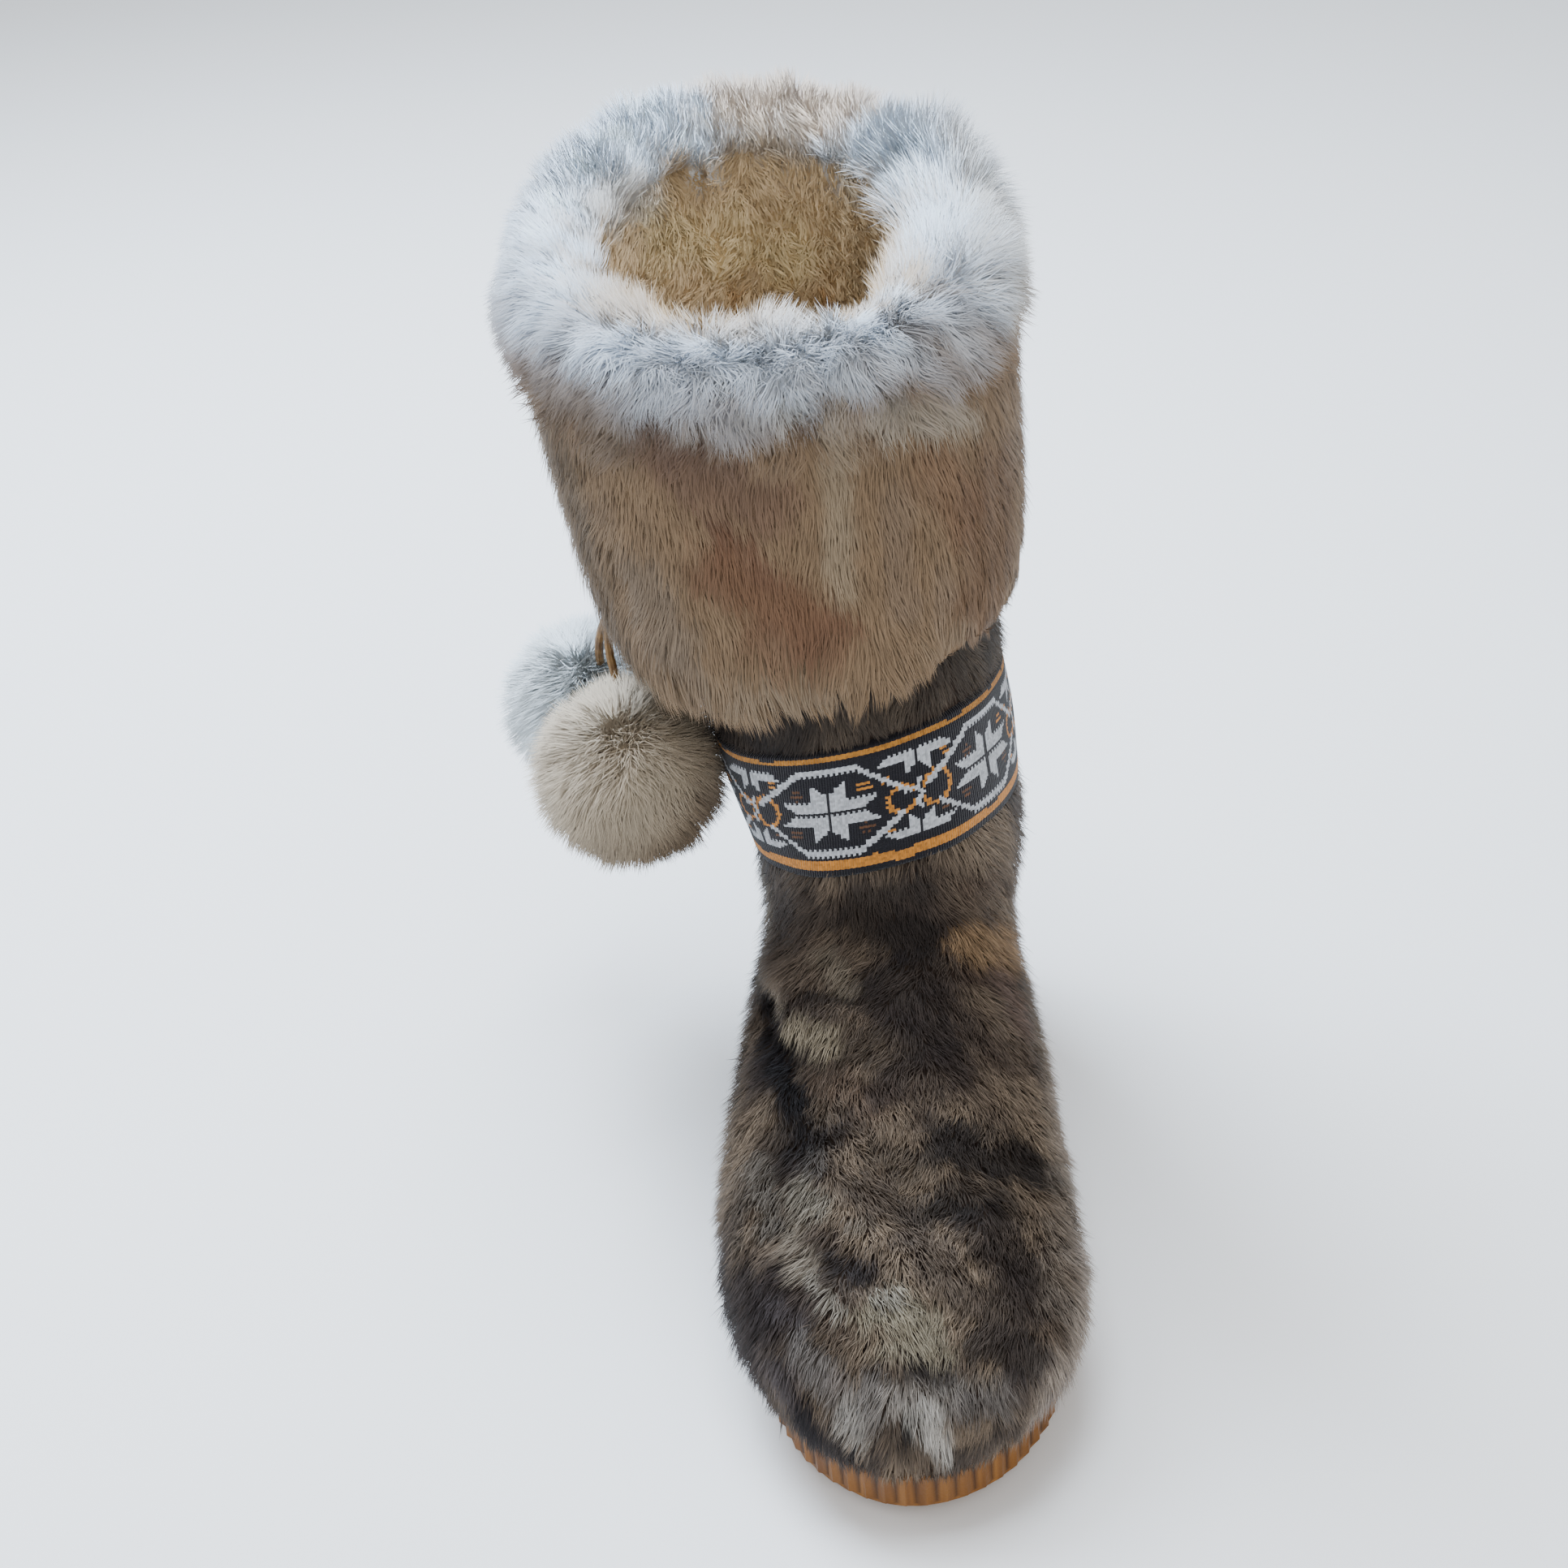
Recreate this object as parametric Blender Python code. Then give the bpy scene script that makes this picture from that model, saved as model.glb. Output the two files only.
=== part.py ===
"""A right-foot winter boot of short-haired fur with a turned-down sheepskin cuff.

The boot stands on its sole. The toe points to -Y, the outer side of the foot is -X, up is +Z,
and the origin is the middle of the heel's flat spot on the floor. Lengths are in metres.
"""

import math

import bmesh
import bpy
import numpy as np
from mathutils import Vector
from mathutils.bvhtree import BVHTree

MM = 0.001

# Clearances
GAP = 0.3 * MM                  # between pieces that stand on each other
CURVED_GAP = 0.8 * MM           # between faceted pieces that wrap round each other

# Outsole
SOLE_LENGTH = 274 * MM
HEEL_BACK = 38 * MM             # from the middle of the heel's flat spot to the back of the sole
SOLE_BALL_WIDTH = 100 * MM
SOLE_HEEL_HEIGHT = 26 * MM
SOLE_BALL_HEIGHT = 18 * MM
TOE_SPRING = 6 * MM
ARCH_LIFT = 2.5 * MM
RIB_PITCH = 6.2 * MM
RIB_DEPTH = 1.3 * MM
SOLE_BEVEL = 1.6 * MM
TREAD_DEPTH = 2.5 * MM
TREAD_WIDTH = 4.5 * MM
TREAD_PITCH = 13 * MM
TREAD_MARGIN = 9 * MM
HEEL_TREAD = 52 * MM            # length of the grooved part of the heel, round its flat spot
BALL_TREAD = 104 * MM
BALL_PLACE = 0.69               # middle of the ball's flat spot, as a share of the length

# Upper
UPPER_WALL = 6 * MM             # hide with its short pile outside and its fleece inside
FEATHER_INSET = 1.5 * MM        # the upper's lower edge stands this far inside the sole's edge
UPPER_BALL_WIDTH = 113 * MM
SHAFT_HEIGHT = 303 * MM         # to the hide's top edge at the sides
SHAFT_LEAN = 29 * MM            # the slack shaft leans outwards this far at its top
ANKLE_HEIGHT = 105 * MM         # the lean starts here
PLUG_STEP = 2.2 * MM            # the plug on top of the foot stands above the side walls
PLUG_EDGE = 7 * MM
FOOT_JOIN = 18 * MM             # how widely the foot runs into the shaft
COLLAR_BACK_RISE = 19 * MM
COLLAR_FRONT_DROP = 11 * MM

# Insole
INSOLE_THICKNESS = 5 * MM

# Woven band
BAND_WIDTH = 48 * MM
BAND_THICKNESS = 1.6 * MM
BAND_HEIGHT = 138 * MM          # of its middle, on the shaft's own axis
BAND_FRONT_RISE = math.radians(10)
BAND_INNER_RISE = math.radians(10.5)

# Cuff
CUFF_DROP = 111 * MM            # from the hide's top edge to the flap's lower edge
CUFF_EDGE_THICKNESS = 15 * MM
CUFF_TOP_THICKNESS = 17 * MM
CUFF_OUTER_EXTRA = 10 * MM      # the flap stands off this much more on the outer side of the leg
CUFF_LINING = 12 * MM           # the wool that shows inside the collar
CUFF_LINING_DEPTH = 66 * MM
CUFF_ROLL = 17 * MM             # the roll stands this far above the hide's edge
CUFF_FRONT_RISE = math.radians(3.5)
CUFF_INNER_RISE = math.radians(7)
LOCK_LENGTH = 7 * MM
LOCK_RELIEF = 2.0 * MM
LOCK_WIDTH = 12 * MM            # along the hide's edge, 30 % less than round the flap

# Pompoms and their ties
POMPOM_FRONT_RADIUS = 31 * MM
POMPOM_BACK_RADIUS = 30 * MM
POMPOM_FLATNESS = 0.88
POMPOM_LOCK = 3.0 * MM
POMPOM_CLEARANCE = 1.0 * MM     # from the front pompom to the band beside it
POMPOM_BACK_OFF = 30 * MM       # the back pompom hangs this much further out
TIE_DIAMETER = 3 * MM
TIE_SAG = 2 * MM                # the ties bow outwards this much
TIE_HEIGHT = 0.63               # share of the shaft's height where the ties leave the cuff

# Plan of the sole. Half widths are shares of its ball width, swing moves the middle inwards.
SOLE_COLUMNS = ("along", "outer", "inner", "swing")
SOLE_ROWS = (
    (0.00, 0.000, 0.000, 0.00),
    (0.02, 0.165, 0.165, 0.00),
    (0.08, 0.290, 0.290, 0.00),
    (0.18, 0.345, 0.340, 0.00),
    (0.32, 0.350, 0.310, 0.00),
    (0.46, 0.390, 0.325, 0.01),
    (0.58, 0.460, 0.405, 0.01),
    (0.68, 0.495, 0.470, 0.02),
    (0.77, 0.480, 0.490, 0.03),
    (0.86, 0.420, 0.450, 0.04),
    (0.93, 0.325, 0.345, 0.05),
    (0.98, 0.180, 0.190, 0.06),
    (1.00, 0.000, 0.000, 0.06),
)

# Side of the sole: shares of the toe spring, of the arch lift, and of the way from the
# ball's height to the heel's.
PROFILE_COLUMNS = ("along", "spring", "arch", "wedge")
PROFILE_ROWS = (
    (0.00, 0.10, 0.0, 1.00),
    (0.05, 0.00, 0.0, 1.00),
    (0.24, 0.00, 0.0, 1.00),
    (0.40, 0.00, 1.0, 0.60),
    (0.56, 0.00, 0.2, 0.15),
    (0.62, 0.00, 0.0, 0.03),
    (0.74, 0.00, 0.0, 0.00),
    (0.80, 0.06, 0.0, 0.00),
    (0.90, 0.40, 0.0, 0.00),
    (1.00, 1.00, 0.0, 0.00),
)

# The foot of the upper. Half widths are shares of its ball width, the crown is a share of the
# shaft's height, and square says how full the section is.
FOOT_COLUMNS = ("along", "outer", "inner", "swing", "crown", "square")
FOOT_ROWS = (
    (0.000, 0.000, 0.000, 0.00, 0.380, 2.2),
    (0.020, 0.150, 0.150, 0.00, 0.390, 2.2),
    (0.080, 0.265, 0.265, 0.00, 0.400, 2.2),
    (0.180, 0.335, 0.325, 0.00, 0.410, 2.1),
    (0.320, 0.395, 0.365, 0.00, 0.400, 2.1),
    (0.410, 0.435, 0.400, 0.01, 0.372, 2.1),
    (0.480, 0.460, 0.425, 0.01, 0.334, 2.1),
    (0.580, 0.490, 0.455, 0.01, 0.284, 2.1),
    (0.680, 0.505, 0.475, 0.02, 0.246, 2.1),
    (0.770, 0.490, 0.485, 0.03, 0.222, 2.2),
    (0.860, 0.430, 0.455, 0.04, 0.202, 2.3),
    (0.930, 0.335, 0.355, 0.05, 0.180, 2.4),
    (0.975, 0.220, 0.225, 0.06, 0.150, 2.4),
    (0.996, 0.000, 0.000, 0.06, 0.105, 2.4),
)

# The shaft: heights and half sizes as shares of its height, the middle's place along the foot
# as a share of the sole's length, and how full the ring is.
SHAFT_COLUMNS = ("up", "half_width", "half_depth", "middle", "square")
SHAFT_ROWS = (
    (0.05, 0.095, 0.115, 0.150, 2.0),
    (0.14, 0.112, 0.136, 0.165, 2.1),
    (0.24, 0.128, 0.155, 0.182, 2.2),
    (0.36, 0.148, 0.182, 0.200, 2.2),
    (0.44, 0.155, 0.189, 0.204, 2.2),
    (0.54, 0.160, 0.190, 0.202, 2.2),
    (0.66, 0.170, 0.196, 0.196, 2.2),
    (0.82, 0.188, 0.208, 0.186, 2.1),
    (1.00, 0.205, 0.222, 0.178, 2.1),
    (1.10, 0.212, 0.228, 0.174, 2.1),
)

# How far up the wall its rings lie, as shares of the shaft's height above the sole
UPPER_LEVELS = (
    0.000, 0.018, 0.042, 0.070, 0.095, 0.118, 0.138, 0.158, 0.180, 0.205, 0.235, 0.270,
    0.310, 0.340, 0.370, 0.400, 0.440, 0.500, 0.590, 0.700, 0.850, 1.000,
)
AROUND = 48                     # points round the upper, the insole and the band
CUFF_AROUND = 84
DENSE = 8                       # directions searched for each point that a ring keeps

# The plug on top of the foot: half widths as shares of the upper's ball width
PLUG_COLUMNS = ("along", "outer", "inner")
PLUG_ROWS = (
    (0.36, 0.30, 0.28),
    (0.46, 0.32, 0.30),
    (0.58, 0.35, 0.33),
    (0.70, 0.36, 0.37),
    (0.80, 0.31, 0.33),
    (0.87, 0.20, 0.22),
    (0.90, 0.00, 0.00),
)

# Section through the cuff, from the lining's foot over the roll to the flap's lower edge and
# back along the hide. side is 0 at the hide and 1 at the wool's face.
CUFF_COLUMNS = ("part", "along", "side", "relief")
CUFF_ROWS = (
    ("lining", 1.00, 0.15, 0.0),
    ("lining", 0.94, 0.80, 0.0),
    ("lining", 0.50, 1.00, 0.3),
    ("roll", 0.10, 1.00, 0.3),
    ("roll", 0.35, 1.00, 0.5),
    ("roll", 0.60, 1.00, 0.5),
    ("roll", 0.85, 1.00, 0.6),
    ("flap", 0.15, 1.00, 0.8),
    ("flap", 0.42, 1.00, 1.0),
    ("flap", 0.70, 1.00, 1.0),
    ("flap", 0.92, 1.00, 1.0),
    ("flap", 1.00, 0.60, 1.0),
    ("flap", 1.00, 0.12, 0.0),
    ("flap", 0.50, 0.00, 0.0),
    ("flap", 0.00, 0.00, 0.0),
    ("lining", 0.00, 0.00, 0.0),
    ("lining", 0.50, 0.00, 0.0),
)

# Where the pompoms lie, and where their ties leave the cuff: shares of the sole's length along
# the foot. up is a share of the shaft's height.
POMPOM_COLUMNS = ("name", "along", "up", "tie_along")
POMPOM_ROWS = (
    ("front", 0.300, 0.482, 0.200),
    ("back", 0.075, 0.448, 0.175),
)

COLOURS = {
    "sole": (0.42, 0.20, 0.055, 0.55),
    "insole": (0.52, 0.42, 0.28, 0.90),
    "upper": (0.19, 0.155, 0.125, 0.85),
    "cuff": (0.52, 0.44, 0.34, 0.90),
    "band": (0.02, 0.02, 0.03, 0.80),
    "tie_front": (0.36, 0.20, 0.09, 0.70),
    "tie_back": (0.36, 0.20, 0.09, 0.70),
    "pompom_front": (0.60, 0.54, 0.44, 0.90),
    "pompom_back": (0.60, 0.54, 0.44, 0.90),
}


def read_table(rows, columns, name, where):
    """Values of a named column along the first column, on a curve that never overshoots."""
    places = np.array([row[0] for row in rows], float)
    values = np.array([row[columns.index(name)] for row in rows], float)
    rates = np.diff(values) / np.diff(places)
    before, after = rates[:-1], rates[1:]
    total = np.where(before * after > 0, before + after, 1)
    inner = np.where(before * after > 0, 2 * before * after / total, 0)
    slopes = np.concatenate(([rates[0]], inner, [rates[-1]]))
    where = np.clip(where, places[0], places[-1])
    i = np.clip(np.searchsorted(places, where, side="right") - 1, 0, len(places) - 2)
    width = places[i + 1] - places[i]
    t = (where - places[i]) / width
    start, end = values[i], values[i + 1]
    rise = end - start
    bend = (slopes[i] * width - rise) * (1 - t) - (slopes[i + 1] * width - rise) * t
    return start + rise * t + t * (1 - t) * bend


def read_half_width(rows, columns, name, where):
    """A half width that closes in a round end where the table reaches 0."""
    squares = [(row[0], row[columns.index(name)] ** 2) for row in rows]
    inside = (where >= rows[0][0]) & (where <= rows[-1][0])
    found = read_table(squares, ("along", "square"), "square", where)
    return np.where(inside, np.sqrt(np.maximum(found, 0)), 0)


def soft_step(value, low, high):
    """0 below low, 1 above high, and a smooth way between."""
    t = np.clip((value - low) / (high - low), 0, 1)
    return t * t * (3 - 2 * t)


def along_foot(y):
    """Share of the sole's length from the heel, at a place y."""
    return (HEEL_BACK - y) / SOLE_LENGTH


def sole_bottom(y):
    where = along_foot(y)
    spring = read_table(PROFILE_ROWS, PROFILE_COLUMNS, "spring", where)
    arch = read_table(PROFILE_ROWS, PROFILE_COLUMNS, "arch", where)
    return TOE_SPRING * spring + ARCH_LIFT * arch


def sole_top(y):
    where = along_foot(y)
    spring = read_table(PROFILE_ROWS, PROFILE_COLUMNS, "spring", where)
    wedge = read_table(PROFILE_ROWS, PROFILE_COLUMNS, "wedge", where)
    return SOLE_BALL_HEIGHT + (SOLE_HEEL_HEIGHT - SOLE_BALL_HEIGHT) * wedge + TOE_SPRING * spring


def foot_field(x, y, z):
    """About the distance to the foot's outer surface, below 0 inside."""
    where = along_foot(y)
    swing = read_table(FOOT_ROWS, FOOT_COLUMNS, "swing", where) * UPPER_BALL_WIDTH
    outer = read_half_width(FOOT_ROWS, FOOT_COLUMNS, "outer", where) * UPPER_BALL_WIDTH
    inner = read_half_width(FOOT_ROWS, FOOT_COLUMNS, "inner", where) * UPPER_BALL_WIDTH
    sole_outer = read_half_width(SOLE_ROWS, SOLE_COLUMNS, "outer", where) * SOLE_BALL_WIDTH
    sole_inner = read_half_width(SOLE_ROWS, SOLE_COLUMNS, "inner", where) * SOLE_BALL_WIDTH
    sole_swing = read_table(SOLE_ROWS, SOLE_COLUMNS, "swing", where) * SOLE_BALL_WIDTH
    crown = read_table(FOOT_ROWS, FOOT_COLUMNS, "crown", where) * SHAFT_HEIGHT
    full = read_table(FOOT_ROWS, FOOT_COLUMNS, "square", where)
    floor = sole_top(y)
    widest = floor + 0.36 * (crown - floor)
    rise = np.sin(0.5 * math.pi * np.clip((z - floor) / (widest - floor), 0, 1))
    middle = sole_swing + (swing - sole_swing) * rise
    foot_half = np.where(x < middle, outer, inner)
    edge_half = np.maximum(np.where(x < middle, sole_outer, sole_inner) - FEATHER_INSET, 0)
    half = edge_half + (foot_half - edge_half) * rise
    height = np.maximum(z - widest, 0) / (crown - widest)
    closed = half < 0.1 * MM
    half = np.where(closed, 1, half)
    radius = (np.abs(x - middle) / half) ** full + height ** full
    field = (radius ** (1 / full) - 1) * np.minimum(half, crown - widest)
    return np.where(closed, SOLE_LENGTH, field - PLUG_STEP * plug_mask(x, y))


def plug_mask(x, y):
    """1 on the plug on top of the foot, 0 on the side walls."""
    where = along_foot(y)
    middle = read_table(FOOT_ROWS, FOOT_COLUMNS, "swing", where) * UPPER_BALL_WIDTH
    outer = read_half_width(PLUG_ROWS, PLUG_COLUMNS, "outer", where) * UPPER_BALL_WIDTH
    inner = read_half_width(PLUG_ROWS, PLUG_COLUMNS, "inner", where) * UPPER_BALL_WIDTH
    inside = np.where(x < middle, outer, inner) - np.abs(x - middle)
    return soft_step(inside, 0, PLUG_EDGE)


def shaft_middle(z):
    lean = SHAFT_LEAN * (z - ANKLE_HEIGHT) / (SHAFT_HEIGHT - ANKLE_HEIGHT)
    place = read_table(SHAFT_ROWS, SHAFT_COLUMNS, "middle", z / SHAFT_HEIGHT)
    return -np.maximum(lean, 0), HEEL_BACK - place * SOLE_LENGTH


def shaft_field(x, y, z):
    """About the distance to the shaft's outer surface, below 0 inside."""
    up = z / SHAFT_HEIGHT
    middle_x, middle_y = shaft_middle(z)
    half_width = read_table(SHAFT_ROWS, SHAFT_COLUMNS, "half_width", up) * SHAFT_HEIGHT
    half_depth = read_table(SHAFT_ROWS, SHAFT_COLUMNS, "half_depth", up) * SHAFT_HEIGHT
    full = read_table(SHAFT_ROWS, SHAFT_COLUMNS, "square", up)
    radius = (np.abs(x - middle_x) / half_width) ** full + (np.abs(y - middle_y) / half_depth) ** full
    return (radius ** (1 / full) - 1) * np.minimum(half_width, half_depth)


def upper_field(x, y, z):
    """The foot run softly into the shaft, softer at the instep than low on the heel."""
    foot = foot_field(x, y, z)
    shaft = shaft_field(x, y, z)
    width = 0.5 * MM + FOOT_JOIN * soft_step(z, 0.5 * ANKLE_HEIGHT, ANKLE_HEIGHT)
    overlap = np.maximum(width - np.abs(foot - shaft), 0) / width
    return np.minimum(foot, shaft) - overlap * overlap * width / 4


def find_surface(start, direction, height_at, reach=0.26):
    """Outermost place along level rays where the upper's outer surface lies."""
    low = np.zeros(direction.shape[0])
    high = np.full(direction.shape[0], reach)
    for _ in range(34):
        middle = 0.5 * (low + high)
        place = start + direction * middle[:, None]
        inside = upper_field(place[:, 0], place[:, 1], height_at(place[:, 0], place[:, 1])) < 0
        low = np.where(inside, middle, low)
        high = np.where(inside, high, middle)
    place = start + direction * low[:, None]
    return np.column_stack((place, height_at(place[:, 0], place[:, 1])))


def ring_on_upper(height_at, count):
    """A closed ring of points on the upper where its surface meets a sheet of given height."""
    axis_y = HEEL_BACK - 0.19 * SOLE_LENGTH
    axis_x = float(shaft_middle(height_at(0.0, axis_y))[0])
    start = np.array([[axis_x, axis_y]])
    back = find_surface(start, np.array([[0.0, 1.0]]), height_at)[0]
    front = find_surface(start, np.array([[0.0, -1.0]]), height_at)[0]
    centre = np.array([[axis_x, 0.5 * (back[1] + front[1])]])
    outer = find_surface(centre, np.array([[-1.0, 0.0]]), height_at)[0]
    inner = find_surface(centre, np.array([[1.0, 0.0]]), height_at)[0]
    half_width = 0.5 * (inner[0] - outer[0])
    half_depth = 0.5 * (back[1] - front[1])
    turn = 2 * math.pi * np.arange(DENSE * count) / (DENSE * count)
    direction = np.column_stack((-half_width * np.sin(turn), half_depth * np.cos(turn)))
    direction /= np.linalg.norm(direction, axis=1)[:, None]
    dense = find_surface(centre, direction, height_at)
    half = DENSE * count // 2
    outer_side = even_points(dense[:half + 1], count // 2)
    inner_side = even_points(np.concatenate((dense[half:], dense[:1])), count // 2)
    return np.concatenate((outer_side[:-1], inner_side[:-1]))


def even_points(line, spans):
    """Points at even distances along a line, its two ends among them."""
    length = np.concatenate(([0], np.cumsum(np.linalg.norm(np.diff(line, axis=0), axis=1))))
    even = np.linspace(0, length[-1], spans + 1)
    return np.column_stack([np.interp(even, length, line[:, k]) for k in range(line.shape[1])])


def collar_height(y):
    """The hide's top edge, higher at the back than in front."""
    middle_y = float(shaft_middle(SHAFT_HEIGHT)[1])
    depth = SHAFT_HEIGHT * SHAFT_ROWS[-2][SHAFT_COLUMNS.index("half_depth")]
    share = np.clip((y - middle_y) / depth, -1, 1)
    return SHAFT_HEIGHT + np.where(share > 0, COLLAR_BACK_RISE, COLLAR_FRONT_DROP) * share


def ring_heights(level):
    """Sheet of a wall ring: on the sole at level 0, along the collar's line at level 1."""
    def height_at(x, y):
        low = sole_top(y) + GAP
        flat = level * SHAFT_HEIGHT + low * (1 - soft_step(level, 0, 0.4))
        tilt = (collar_height(y) - SHAFT_HEIGHT) * soft_step(level, 0.5, 1)
        return flat + tilt
    return height_at


def wall_normals(rings):
    """The surface's own directions out of the wall, at each point of each ring."""
    grid = np.array(rings)
    around = np.roll(grid, -1, axis=1) - np.roll(grid, 1, axis=1)
    upward = np.gradient(grid, axis=0)
    normal = np.cross(upward, around)
    normal /= np.linalg.norm(normal, axis=2)[:, :, None]
    middle = len(rings) // 2
    away = grid[middle] - grid[middle].mean(axis=0)
    if np.sum(normal[middle] * away) < 0:
        normal = -normal
    return normal


def make_object(name, points, faces):
    mesh = bpy.data.meshes.new(name)
    mesh.from_pydata([tuple(map(float, point)) for point in points], [], faces)
    work = bmesh.new()
    work.from_mesh(mesh)
    bmesh.ops.recalc_face_normals(work, faces=work.faces)
    if work.calc_volume(signed=True) < 0:
        bmesh.ops.reverse_faces(work, faces=work.faces)
    work.to_mesh(mesh)
    work.free()
    thing = bpy.data.objects.new(name, mesh)
    bpy.context.scene.collection.objects.link(thing)
    give_material(thing)
    return thing


def give_material(thing):
    red, green, blue, roughness = COLOURS[thing.name]
    material = bpy.data.materials.new(thing.name)
    material.use_nodes = True
    shader = material.node_tree.nodes["Principled BSDF"]
    shader.inputs["Base Color"].default_value = (red, green, blue, 1)
    shader.inputs["Roughness"].default_value = roughness
    shader.inputs["Metallic"].default_value = 0
    thing.data.materials.append(material)


def band_faces(first, second, count):
    """Faces between two rings that start at the point numbers first and second."""
    faces = []
    for i in range(count):
        j = (i + 1) % count
        faces.append((first + i, first + j, second + j, second + i))
    return faces


def cap_faces(first, count):
    """Faces across a ring whose points i and count - i face each other."""
    half = count // 2
    faces = [(first, first + 1, first + count - 1)]
    for i in range(1, half - 1):
        faces.append((first + i, first + i + 1, first + count - i - 1, first + count - i))
    faces.append((first + half - 1, first + half, first + half + 1))
    return faces


def closed_rings(name, rings, capped):
    """A solid of equal rings, closed by caps or run back onto its first ring."""
    count = len(rings[0])
    faces = []
    for i in range(len(rings) - 1):
        faces += band_faces(i * count, (i + 1) * count, count)
    if capped:
        faces += cap_faces(0, count)
        faces += cap_faces((len(rings) - 1) * count, count)
    else:
        faces += band_faces((len(rings) - 1) * count, 0, count)
    return make_object(name, np.concatenate(rings), faces)


def sole_outline(count, inset=0.0):
    """Outline of the sole in plan with as many points on the outer side as on the inner."""
    dense = 0.5 - 0.5 * np.cos(np.linspace(0, math.pi, 1201))
    y = HEEL_BACK - dense * SOLE_LENGTH
    middle = read_table(SOLE_ROWS, SOLE_COLUMNS, "swing", dense) * SOLE_BALL_WIDTH
    sides = []
    for name, sign in (("outer", -1), ("inner", 1)):
        half = read_half_width(SOLE_ROWS, SOLE_COLUMNS, name, dense) * SOLE_BALL_WIDTH
        sides.append(even_points(np.column_stack((middle + sign * half, y)), count // 2))
    ring = np.concatenate((sides[0], sides[1][-2:0:-1]))
    return ring + outward(ring) * -inset


def outward(ring):
    """Level directions that point out of a ring of places in plan."""
    step = np.roll(ring, -1, axis=0) - np.roll(ring, 1, axis=0)
    normal = np.column_stack((-step[:, 1], step[:, 0]))
    normal /= np.linalg.norm(normal, axis=1)[:, None]
    if np.sum(normal * (ring - ring.mean(axis=0))) < 0:
        normal = -normal
    return normal


def make_sole():
    dense = sole_outline(1200)
    length = np.linalg.norm(dense - np.roll(dense, 1, axis=0), axis=1).sum()
    ribs = 2 * round(length / RIB_PITCH / 2)
    count = 2 * ribs
    crest = (np.arange(count) % 2) * RIB_DEPTH
    edge = sole_outline(count, RIB_DEPTH)
    normal = outward(edge)
    bottom = sole_bottom(edge[:, 1])
    top = sole_top(edge[:, 1])
    rows = (
        (-SOLE_BEVEL, bottom, 0),
        (0, bottom + SOLE_BEVEL, 0),
        (0, bottom + 2 * SOLE_BEVEL, 1),
        (0, top - 2 * SOLE_BEVEL, 1),
        (0, top - SOLE_BEVEL, 0),
        (-0.5 * SOLE_BEVEL, top, 0),
    )
    rings = []
    for shift, height, ribbed in rows:
        ring = edge + normal * (shift + ribbed * crest)[:, None] if ribbed else edge + normal * shift
        rings.append(np.column_stack((ring, height)))
    sole = closed_rings("sole", rings, capped=True)
    cut_tread(sole)
    return sole


def cut_tread(sole):
    """Grooves across the flats of the heel and the ball, up to a margin from the edge."""
    work = bmesh.new()
    for centre, length in ((0.0, HEEL_TREAD), (HEEL_BACK - BALL_PLACE * SOLE_LENGTH, BALL_TREAD)):
        number = 2 * round(0.5 * length / TREAD_PITCH)      # even: a bar lies at the middle
        for i in range(number):
            y = centre + (i - 0.5 * (number - 1)) * TREAD_PITCH
            where = along_foot(y)
            middle = float(read_table(SOLE_ROWS, SOLE_COLUMNS, "swing", where)) * SOLE_BALL_WIDTH
            outer = float(read_half_width(SOLE_ROWS, SOLE_COLUMNS, "outer", where)) * SOLE_BALL_WIDTH
            inner = float(read_half_width(SOLE_ROWS, SOLE_COLUMNS, "inner", where)) * SOLE_BALL_WIDTH
            left = middle - outer + TREAD_MARGIN
            right = middle + inner - TREAD_MARGIN
            base = float(sole_bottom(y))
            box = bmesh.ops.create_cube(work, size=1)["verts"]
            bmesh.ops.scale(work, verts=box, vec=(right - left, TREAD_WIDTH, 2 * TREAD_DEPTH))
            bmesh.ops.translate(work, verts=box, vec=(0.5 * (left + right), y, base))
    mesh = bpy.data.meshes.new("tread_cutter")
    work.to_mesh(mesh)
    work.free()
    cutter = bpy.data.objects.new("tread_cutter", mesh)
    bpy.context.scene.collection.objects.link(cutter)
    cutter.hide_render = True
    cutter.display_type = "WIRE"
    cut = sole.modifiers.new("tread", "BOOLEAN")
    cut.operation = "DIFFERENCE"
    cut.solver = "EXACT"
    cut.object = cutter


def make_upper():
    """The hollow wall. Its rings go up the outside, over the collar and down the inside."""
    outer = [ring_on_upper(ring_heights(level), AROUND) for level in UPPER_LEVELS]
    normal = wall_normals(outer)
    inner = []
    for i, ring in enumerate(outer):
        direction = normal[i].copy()
        if i in (0, len(outer) - 1):
            direction[:, 2] = 0
            direction /= np.linalg.norm(direction, axis=1)[:, None]
        moved = ring - direction * UPPER_WALL
        if i == 0:
            moved[:, 2] = sole_top(moved[:, 1]) + GAP
        inner.append(moved)
    closed_rings("upper", outer + inner[::-1], capped=False)
    return inner


def make_insole(inner):
    ring = inner[0][:, :2]
    ring = ring - outward(ring) * CURVED_GAP
    base = sole_top(ring[:, 1]) + GAP
    bevel = 0.25 * INSOLE_THICKNESS
    rings = [
        np.column_stack((ring, base)),
        np.column_stack((ring, base + INSOLE_THICKNESS - bevel)),
        np.column_stack((ring - outward(ring) * bevel, base + INSOLE_THICKNESS)),
    ]
    closed_rings("insole", rings, capped=True)


def tilted(base, front_rise, inner_rise, centre_height):
    """Sheet of height for a ring that is worn at a slant."""
    middle_x, middle_y = shaft_middle(centre_height)

    def height_at(x, y):
        rise = (middle_y - y) * math.tan(front_rise) + (x - middle_x) * math.tan(inner_rise)
        return base + rise
    return height_at


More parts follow.
